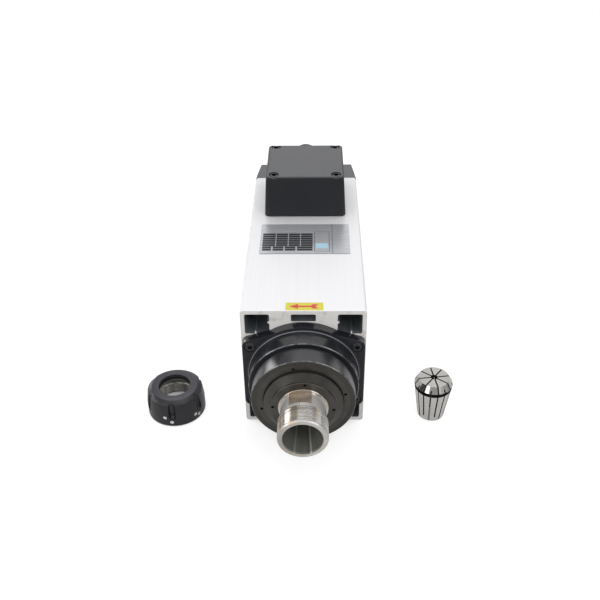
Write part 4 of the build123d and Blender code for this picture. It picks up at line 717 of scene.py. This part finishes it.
# ---------------------------------------------------------------- rotor, stator and rear plate
# Cores of stacked silicon steel sheets, whose edges show as fine lines. The rotor's end rings and
# the rear plate are die cast aluminium; the winding is taped and dipped in brown varnish.
LAMINATION = 0.5
stack, tree, shader = new_material("lamination_steel_stack", "#6d6e70", 1.0, 0.45)
vary(tree, shader, noise(tree, (200, LAMINATION, 200), 1.0), ("#5c5d60", "#808184"), (0.38, 0.55),
     0.03)
paint(stack, "rotor_core", "stator_core")

casting, tree, shader = new_material("die_cast_aluminium", "#a9aaac", 1.0, 0.5)
vary(tree, shader, noise(tree, 1.5, 4.0), ("#9b9c9e", "#b9babc"), (0.42, 0.6), 0.03)
paint(casting, "rotor_end_rings", "rear_end_plate")

varnish, tree, shader = new_material("varnished_winding_tape", "#8a4a1e", 0.0, 0.3)
vary(tree, shader, noise(tree, (3.0, 1.2, 3.0), 3.0), ("#6f3813", "#a45c2a"), depth=0.2)
feed(shader, {"Coat Weight": 0.6, "Coat Roughness": 0.12})
paint(varnish, "stator_end_windings")

# ---------------------------------------------------------------- rotation label
# A yellow polyester sticker at the body's front edge, printed with a red arrow that says which
# way the spindle turns. Sizes are measured from its left front corner.
LABEL_CORNER = (-14.5, -114.0)
LABEL_SIZE = (30.7, 10.5)
LABEL_THICK = 0.12
LABEL_ROUND = 0.8
PRINT_THICK = 0.05
TOP = body_high.z / MM
ARROW_TIP = 2.8
ARROW_HEAD = 7.3
ARROW_HEAD_HALF = 3.4
ARROW_SHAFT_HALF = 1.05
ARROW_TAIL = 20.6
ARROW_FLARE = 1.5
ARROW_TAIL_HALF = 2.9
ARROW_END = 26.6
ARROW_NOTCH = 2.4


def plate_mesh(name, outlines, low, high):
    """Flat pieces of the given outlines in millimetres, between two heights."""
    mesh = bmesh.new()
    for outline in outlines:
        feet = [mesh.verts.new((x * MM, y * MM, low * MM)) for x, y in outline]
        tops = [mesh.verts.new((x * MM, y * MM, high * MM)) for x, y in outline]
        mesh.faces.new(tops)
        mesh.faces.new(list(reversed(feet)))
        for k in range(len(feet)):
            mesh.faces.new((feet[k - 1], feet[k], tops[k], tops[k - 1]))
    return outwards(mesh, name)


def rounded(left, front, width, depth, radius):
    """Outline of a rectangle with rounded corners."""
    corners = ((left + width - radius, front + depth - radius, 0),
               (left + radius, front + depth - radius, 90), (left + radius, front + radius, 180),
               (left + width - radius, front + radius, 270))
    return [(x + radius * cos(radians(start + step)), y + radius * sin(radians(start + step)))
            for x, y, start in corners for step in (0, 22.5, 45, 67.5, 90)]


film_yellow, tree, shader = new_material("polyester_film_yellow", "#dcd24a", 0.0, 0.36)
vary(tree, shader, noise(tree, 2.5, 3.0), ("#d6cb42", "#e0d858"), (0.3, 0.44))
red_ink, tree, shader = new_material("screen_print_red", "#d3473f", 0.0, 0.4)
vary(tree, shader, noise(tree, 0.5, 3.0), ("#cb3f38", "#db554b"))
left, front = LABEL_CORNER
middle = front + LABEL_SIZE[1] / 2
head = ARROW_TIP + ARROW_HEAD
upper = [(head, ARROW_HEAD_HALF), (head, ARROW_SHAFT_HALF), (ARROW_TAIL, ARROW_SHAFT_HALF),
         (ARROW_TAIL + ARROW_FLARE, ARROW_TAIL_HALF), (ARROW_END, ARROW_TAIL_HALF)]
arrow = [(ARROW_TIP, 0)] + [(x, -y) for x, y in upper] + [(ARROW_END - ARROW_NOTCH, 0)]
arrow += [(x, y) for x, y in reversed(upper)]
label = rounded(left, front, *LABEL_SIZE, LABEL_ROUND)
arrow = [(left + x, middle + y) for x, y in arrow]
print_face = TOP + LABEL_THICK
for name, outline, low, high, finish in (
        ("rotation_label", label, TOP, print_face, film_yellow),
        ("rotation_arrow", arrow, print_face, print_face + PRINT_THICK, red_ink)):
    add_piece(name, plate_mesh(name, [outline], low, high), "frame", finish)

# ---------------------------------------------------------------- rating plate
# A thin brushed aluminium plate stuck on the body ahead of the terminal box. It carries only
# blank tables: dark printed cells, a ruled frame with a pale field, and a rule beside them.
PLATE_CORNER = (-40.4, -30.5)
PLATE_SIZE = (81.1, 51.3)
PLATE_THICK = 0.4
PLATE_ROUND = 1.2
CELL_ROWS = 6
CELL_PITCH = 3.75
CELL_HEIGHT = 3.2
CELL_TOP = 34.8               # height of the first row's upper edge on the plate
CELL_COLUMNS = ((2.2, 11.6), (14.6, 10.5), (25.9, 10.3), (37.0, 10.6))
FOOT_ROWS = 2
FOOT_COLUMNS = ((2.4, 8.0), (11.8, 9.6), (22.6, 9.6), (33.6, 13.9))
FRAME_BOX = (49.2, 4.0, 13.6, 33.6)
FRAME_LINE = 0.35
PALE_FIELD = (50.4, 9.2, 11.2, 8.6)
RULE_ACROSS = 65.3
RULE_INSET = 0.6              # the upright rule stops this short of the plate's edges
FOOT_RULE = (0.4, 0.2)        # where the rule along the foot starts


def placed(outline):
    """An outline measured from the rating plate's left front corner, on the body."""
    return [(PLATE_CORNER[0] + x, PLATE_CORNER[1] + y) for x, y in outline]


def bar(left, front, width, depth):
    """A plain rectangle on the rating plate."""
    return placed([(left, front), (left + width, front), (left + width, front + depth),
                   (left, front + depth)])


brushed, tree, shader = new_material("brushed_aluminium_foil", "#c0c2c8", 0.6, 0.28)
vary(tree, shader, noise(tree, (30, 0.25, 30), 3.0), ("#c3c5cb", "#d6d8dc"), (0.22, 0.36), 0.004)
dark_ink, tree, shader = new_material("screen_print_dark_grey", "#3b3d44", 0.0, 0.42)
vary(tree, shader, noise(tree, 0.7, 3.0), ("#1e2025", "#2f3137"))
blue_ink, tree, shader = new_material("screen_print_pale_blue", "#a9cbe0", 0.0, 0.42)
vary(tree, shader, noise(tree, 0.7, 3.0), ("#a0c3da", "#b4d3e5"))
cells = [bar(across, CELL_TOP - CELL_HEIGHT - row * CELL_PITCH, width, CELL_HEIGHT)
         for across, width in CELL_COLUMNS for row in range(CELL_ROWS)]
foot_top = CELL_TOP - CELL_ROWS * CELL_PITCH
cells += [bar(across, foot_top - CELL_HEIGHT - row * CELL_PITCH, width, CELL_HEIGHT)
          for across, width in FOOT_COLUMNS for row in range(FOOT_ROWS)]
box_left, box_front, box_width, box_depth = FRAME_BOX
rules = [bar(box_left, box_front, box_width, FRAME_LINE),
         bar(box_left, box_front + box_depth - FRAME_LINE, box_width, FRAME_LINE),
         bar(box_left, box_front, FRAME_LINE, box_depth),
         bar(box_left + box_width - FRAME_LINE, box_front, FRAME_LINE, box_depth),
         bar(RULE_ACROSS, RULE_INSET, FRAME_LINE, PLATE_SIZE[1] - 2 * RULE_INSET),
         bar(*FOOT_RULE, PLATE_SIZE[0] - 2 * FOOT_RULE[0], FRAME_LINE)]
foil_top = TOP + PLATE_THICK
plate = placed(rounded(0, 0, *PLATE_SIZE, PLATE_ROUND))
for name, outlines, low, thick, finish in (
        ("rating_plate", [plate], TOP, PLATE_THICK, brushed),
        ("rating_plate_cells", cells, foil_top, PRINT_THICK, dark_ink),
        ("rating_plate_rules", rules, foil_top, PRINT_THICK, dark_ink),
        ("rating_plate_field", [bar(*PALE_FIELD)], foil_top, PRINT_THICK, blue_ink)):
    add_piece(name, plate_mesh(name, outlines, low, low + thick), "frame", finish)

# ---------------------------------------------------------------- collet nut
# Turned steel nut, threaded inside at its foot, with six spanner slots and four balance holes
# drilled in its side. It is hot blackened outside; the thread and the drillings are bare steel.
NUT_OUTSIDE = 25.5
NUT_HEIGHT = 26.5
NUT_CHAMFER = 1.1
NUT_SIDE_TOP = 13.0           # the side is straight up to here, then leans in to the shoulder
NUT_SHOULDER = (24.1, 23.4)
NUT_FACE = 20.3
NUT_MOUTH = 13.9
NUT_LIP = 3.2
NUT_CAVITY = 18.6
NUT_CREST = 19.25
NUT_THREAD_FOOT = 1.2
NUT_RELIEF_START = 12.2
NUT_RELIEF_END = 14.2
NUT_RELIEF = 20.6
NUT_SLOT = 3.1
NUT_SLOT_PLACE = 25.2
NUT_SLOT_FLOOR = 11.2
NUT_SLOT_TURN = -90.0
DRILL = 1.7
DRILL_DEPTH = 2.2
DRILL_TIP = 0.7
DRILL_PLACES = ((-105.6, 9.6), (-91.9, 5.0), (-41.0, 7.0), (-31.5, 4.7))
BARE_DRILLING = (2.2, 0.6)    # metal is bare this near a point so far above a drilling's foot
THREAD_SHADE_FOOT = (1.2, 2.2)
THREAD_SHADE_DEEP = (10.5, 12.5)
EDGE_BREAK = 0.25
nut_low, nut_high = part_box("collet_nut")
NUT_MIDDLE = (nut_low + nut_high) / 2 / MM


def upright(middle):
    """Places points about a vertical line through a middle, from millimetres."""
    def at(radius, angle, along):
        return ((middle.x + radius * cos(angle)) * MM, (middle.y + radius * sin(angle)) * MM,
                along * MM)
    return at


def nut_limit(along, radius):
    """Keep the nut's thread outside its foot chamfer, and run it out into the relief groove."""
    return max(radius, NUT_CREST + NUT_THREAD_FOOT - along, NUT_RELIEF - NUT_RELIEF_START + along)


def nut_body():
    """The nut as turned and threaded, before its slots are milled."""
    angles = [2 * pi * k / SEGMENTS for k in range(SEGMENTS)]
    place = upright(NUT_MIDDLE)
    roof = NUT_HEIGHT - NUT_LIP
    rows = [(NUT_CREST + NUT_THREAD_FOOT, 0), (NUT_OUTSIDE - NUT_CHAMFER, 0),
            (NUT_OUTSIDE, NUT_CHAMFER), (NUT_OUTSIDE, NUT_SIDE_TOP), NUT_SHOULDER,
            (NUT_FACE + EDGE_BREAK, NUT_HEIGHT - EDGE_BREAK / 2),
            (NUT_FACE - EDGE_BREAK, NUT_HEIGHT), (NUT_MOUTH + EDGE_BREAK, NUT_HEIGHT),
            (NUT_MOUTH, NUT_HEIGHT - EDGE_BREAK), (NUT_MOUTH, roof), (NUT_CAVITY, roof),
            (NUT_CAVITY, NUT_RELIEF_END), (NUT_RELIEF, NUT_RELIEF_END),
            (NUT_RELIEF, NUT_RELIEF_START)]
    mesh = bmesh.new()
    skin(mesh, [ring_of(mesh, radius, along, angles, place) for radius, along in rows])
    cut_thread(mesh, angles, 0.0, NUT_RELIEF_START, NUT_CREST, 1, nut_limit, place)
    return finished(mesh, "nut_body")


def slot_cutters():
    """Round-ended cutters that mill the spanner slots."""
    mesh = bmesh.new()
    angles = [2 * pi * k / 40 for k in range(40)]
    for k in range(6):
        turn = radians(NUT_SLOT_TURN + 60 * k)
        middle = NUT_MIDDLE + NUT_SLOT_PLACE * Vector((cos(turn), sin(turn), 0))
        place = upright(middle)
        bowl = [(NUT_SLOT * cos(radians(tip)), NUT_SLOT_FLOOR + NUT_SLOT * sin(radians(tip)))
                for tip in range(-80, 1, 10)]
        rows = bowl + [(NUT_SLOT, NUT_HEIGHT + 1)]
        rings = [ring_of(mesh, radius, along, angles, place) for radius, along in rows]
        skin(mesh, rings)
        close(mesh, rings[0], place(0, 0, NUT_SLOT_FLOOR - NUT_SLOT))
        close(mesh, rings[-1], place(0, 0, NUT_HEIGHT + 1))
    return finished(mesh, "slot_cutters")


def sideways(middle, turn, height):
    """Places points about a level line that leaves the nut's middle at a turn and a height."""
    out = Vector((cos(turn), sin(turn), 0))
    across = Vector((-sin(turn), cos(turn), 0))
    start = Vector((middle.x, middle.y, height))

    def at(radius, angle, along):
        level = start + along * out + radius * cos(angle) * across
        return (level + radius * sin(angle) * Vector((0, 0, 1))) * MM
    return at


def drill_cutters():
    """Drill points that take metal off the nut's side to balance it."""
    mesh = bmesh.new()
    angles = [2 * pi * k / 32 for k in range(32)]
    foot, top = NUT_OUTSIDE - DRILL_DEPTH, NUT_OUTSIDE + 1
    for turn, height in DRILL_PLACES:
        place = sideways(NUT_MIDDLE, radians(turn), height)
        rings = [ring_of(mesh, DRILL, along, angles, place) for along in (foot, top)]
        skin(mesh, rings)
        close(mesh, rings[0], place(0, 0, foot - DRILL_TIP))
        close(mesh, rings[1], place(0, 0, top))
    return finished(mesh, "drill_cutters")


def carved(mesh, cutters):
    """A mesh with each set of cutters taken out of it in turn."""
    for cutter in cutters:
        block = bpy.data.objects.new("block", mesh)
        tool = bpy.data.objects.new("tool", cutter)
        for thing in (block, tool):
            bpy.context.scene.collection.objects.link(thing)
        cut = block.modifiers.new("cut", "BOOLEAN")
        cut.operation = "DIFFERENCE"
        cut.solver = "EXACT"
        cut.object = tool
        ready = block.evaluated_get(bpy.context.evaluated_depsgraph_get())
        mesh = bpy.data.meshes.new_from_object(ready)
        for thing in (block, tool):
            bpy.data.objects.remove(thing)
    joined = bmesh.new()
    joined.from_mesh(mesh)
    return finished(joined, "collet_nut")


nut_black, tree, shader = new_material("hot_black_oxide_steel", "#2c2c2e", 0.55, 0.33)
nut_line = (NUT_MIDDLE.x * MM, NUT_MIDDLE.y * MM, 0)
rings = turning(tree, nut_line, 2, TURNING_RING)
worn = noise(tree, 6, 3.0)
side = add(tree, "NewGeometry", {})
turned_to = add(tree, "SeparateXYZ", {0: side.outputs["Normal"]})
upper = add(tree, "MapRange", {"Value": turned_to.outputs["Z"], "From Min": 0.9, "From Max": 0.97})
film = add(tree, "Mix", {0: worn, 6: linear("#2b2b2e"), 7: linear("#3d3d40")}, data_type="RGBA")
# painted light: the nut's top faces are painted lighter
painted_top_light = add(tree, "Mix", {0: noise(tree, 1.2, 4.0, 0.7), 6: linear("#3d3d42"),
                            7: linear("#56565c")}, data_type="RGBA")
film = add(tree, "Mix", {0: upper, 6: film, 7: painted_top_light}, data_type="RGBA")
away, upward = about(tree, nut_line, 2)
inner = add(tree, "Math", {0: away, 1: (NUT_RELIEF + 0.3) * MM}, operation="LESS_THAN")
low = add(tree, "Math", {0: upward, 1: (NUT_RELIEF_END - 0.1) * MM}, operation="LESS_THAN")
threaded = add(tree, "Math", {0: inner, 1: low}, operation="MULTIPLY")
bare = threaded
place = add(tree, "TexCoord", {})
bare_near, bare_above = BARE_DRILLING
for turn, height in DRILL_PLACES:
    drilling = sideways(NUT_MIDDLE, radians(turn), height)
    spot = drilling(0, 0, NUT_OUTSIDE - DRILL_DEPTH + bare_above)
    reach = add(tree, "VectorMath", {0: place.outputs["Object"], 1: spot}, operation="DISTANCE")
    drilled = add(tree, "Math", {0: reach, 1: bare_near * MM}, operation="LESS_THAN")
    bare = add(tree, "Math", {0: bare, 1: drilled}, operation="MAXIMUM")
# a cut thread's steel is painted with streaks round it as a painted reflection, and painted shade
# darkens it at its foot and deep inside
painted_thread_reflection = add(tree, "VectorMath", {0: side.outputs["Normal"], 1: (4.5, 4.5, 0.0)},
            operation="MULTIPLY")
painted_thread_reflection = add(tree, "TexNoise", {"Vector": painted_thread_reflection, "Scale": 1.0, "Detail": 2.0})
painted_thread_reflection = add(tree, "MapRange", {"Value": painted_thread_reflection, "From Min": 0.4, "From Max": 0.62})
cut = add(tree, "Mix", {0: painted_thread_reflection, 6: linear("#8f8b83"), 7: linear("#dedcd6")}, data_type="RGBA")
shade = add(tree, "MapRange", {"Value": upward, "From Min": THREAD_SHADE_FOOT[0] * MM,
                               "From Max": THREAD_SHADE_FOOT[1] * MM, "To Min": 1.0, "To Max": 0.0})
deep = add(tree, "MapRange", {"Value": upward, "From Min": THREAD_SHADE_DEEP[0] * MM,
                              "From Max": THREAD_SHADE_DEEP[1] * MM})
shade = add(tree, "Math", {0: shade, 1: deep}, operation="MAXIMUM")
shade = add(tree, "Math", {0: shade, 1: threaded}, operation="MULTIPLY")
cut = add(tree, "Mix", {0: threaded, 6: linear("#ffffff"), 7: cut}, data_type="RGBA")
cut = add(tree, "Mix", {0: shade, 6: cut, 7: linear("#1d1c1a")}, data_type="RGBA")
colour = add(tree, "Mix", {0: bare, 6: film, 7: cut}, data_type="RGBA")
dimpled = add(tree, "Math", {0: bare, 1: threaded}, operation="SUBTRACT")
metal = add(tree, "MapRange", {"Value": dimpled, "To Min": 0.55, "To Max": 0.15})
rough = add(tree, "MapRange", {"Value": rings, "To Min": 0.24, "To Max": 0.4})
feed(shader, {"Base Color": colour, "Metallic": metal, "Roughness": rough})
bump(tree, shader, rings, 0.003, 0.25)
nut = add_piece("nut", carved(nut_body(), (slot_cutters(), drill_cutters())), "nut", nut_black)
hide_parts("collet_nut")

# ---------------------------------------------------------------- extractor ring and slip washer
# A turned steel ring, dark from oil, that turns freely inside the nut and draws the collet out.
# It runs on a washer of sintered bronze, dull and fine grained.
bronze, tree, shader = new_material("sintered_bronze", "#9a6b3c", 1.0, 0.4)
vary(tree, shader, noise(tree, 0.4, 3.0), ("#8a5d33", "#ab7a48"), (0.32, 0.5))
paint(bronze, "nut_slip_washer")
ring_steel, tree, shader = new_material("turned_steel_ring", "#454440", 0.8, 0.3)
vary(tree, shader, turning(tree, nut_line, 2, TURNING_RING), ("#3b3a37", "#4f4d49"), (0.24, 0.38))
paint(ring_steel, "nut_extractor_ring")

# ---------------------------------------------------------------- spring collet
# Hardened spring steel collet, ground on its long taper and its head cone, and slit from both
# ends. The grinding leaves rings round it; the groove behind the head is painted black, over its
# edges too.
GROOVE_LOW = 31.3             # its painted black runs over the edges on both sides
GROOVE_HIGH = 35.4
GROOVE_INSIDE = 17.0
SLIT_TURN = -82.2
SLIT_SHADE = 0.66             # half the width of a slit with its painted dark edges
FRONT_SLIT_END = 5.0
REAR_SLIT_END = 38.0
COLLET_TOP = 41.5
COLLET_FACE = 0.6             # the face's own bright edge, above the black bore
COLLET_SLITS = 8              # from each end
COLLET_RING = 0.25            # between its grinding rings, drawn coarser than they are
BORE_INSIDE = 6.8
collet_low, collet_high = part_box("spring_collet")
collet_middle = (collet_low + collet_high) / 2
collet_line = (collet_middle.x, collet_middle.y, 0)
collet_steel, tree, shader = new_material("ground_spring_steel", "#c6c5c2", 1.0, 0.2)
rings = turning(tree, collet_line, 2, COLLET_RING)
away, upward = about(tree, collet_line, 2)
middle = (GROOVE_LOW + GROOVE_HIGH) / 2
band = add(tree, "Math", {0: upward, 1: middle * MM, 2: (GROOVE_HIGH - middle) * MM},
           operation="COMPARE")
sunk = add(tree, "Math", {0: away, 1: GROOVE_INSIDE * MM}, operation="LESS_THAN")
scaled = add(tree, "Math", {0: band, 1: sunk}, operation="MULTIPLY")
ground = add(tree, "Mix", {0: noise(tree, 10, 3.0), 6: linear("#cac8c4"), 7: linear("#d9d7d4")},
             data_type="RGBA")
# painted shade: the bore and the slits' walls are painted black, and so is a narrow edge beside
# each slit
place = add(tree, "TexCoord", {})
moved = add(tree, "VectorMath", {0: place.outputs["Object"], 1: collet_line}, operation="SUBTRACT")
split = add(tree, "SeparateXYZ", {0: moved})
in_bore = add(tree, "Math", {0: away, 1: BORE_INSIDE * MM}, operation="LESS_THAN")
below_face = add(tree, "Math", {0: upward, 1: (COLLET_TOP - COLLET_FACE) * MM},
                 operation="LESS_THAN")
shut_in = add(tree, "Math", {0: in_bore, 1: below_face}, operation="MULTIPLY")
slit = add(tree, "Math", {0: scaled, 1: shut_in}, operation="MAXIMUM")
step = radians(180 / COLLET_SLITS)
for turn, low, high in ((radians(SLIT_TURN), FRONT_SLIT_END, COLLET_TOP),
                        (radians(SLIT_TURN + 180 / COLLET_SLITS), 0.0, REAR_SLIT_END)):
    bearing_of = add(tree, "Math", {0: split.outputs["Y"], 1: split.outputs["X"]},
                     operation="ARCTAN2")
    bearing_of = add(tree, "Math", {0: bearing_of, 1: turn}, operation="SUBTRACT")
    bearing_of = add(tree, "Math", {0: bearing_of, 1: -step, 2: step}, operation="WRAP")
    aside = add(tree, "Math", {0: bearing_of}, operation="SINE")
    aside = add(tree, "Math", {0: aside, 1: away}, operation="MULTIPLY")
    beside = add(tree, "Math", {0: aside, 1: 0.0, 2: SLIT_SHADE * MM}, operation="COMPARE")
    along = add(tree, "Math", {0: upward, 1: (low + high) / 2 * MM, 2: (high - low) / 2 * MM},
                operation="COMPARE")
    edge = add(tree, "Math", {0: beside, 1: along}, operation="MULTIPLY")
    slit = add(tree, "Math", {0: slit, 1: edge}, operation="MAXIMUM")
colour = add(tree, "Mix", {0: slit, 6: ground, 7: linear("#1c1b1a")}, data_type="RGBA")
metal = add(tree, "MapRange", {"Value": slit, "To Min": 1.0, "To Max": 0.0})
rough = add(tree, "MapRange", {"Value": rings, "To Min": 0.14, "To Max": 0.24})
feed(shader, {"Base Color": colour, "Metallic": metal, "Roughness": rough})
ground_round(tree, shader, "Z")
bump(tree, shader, rings, 0.0012)
paint(collet_steel, "spring_collet")
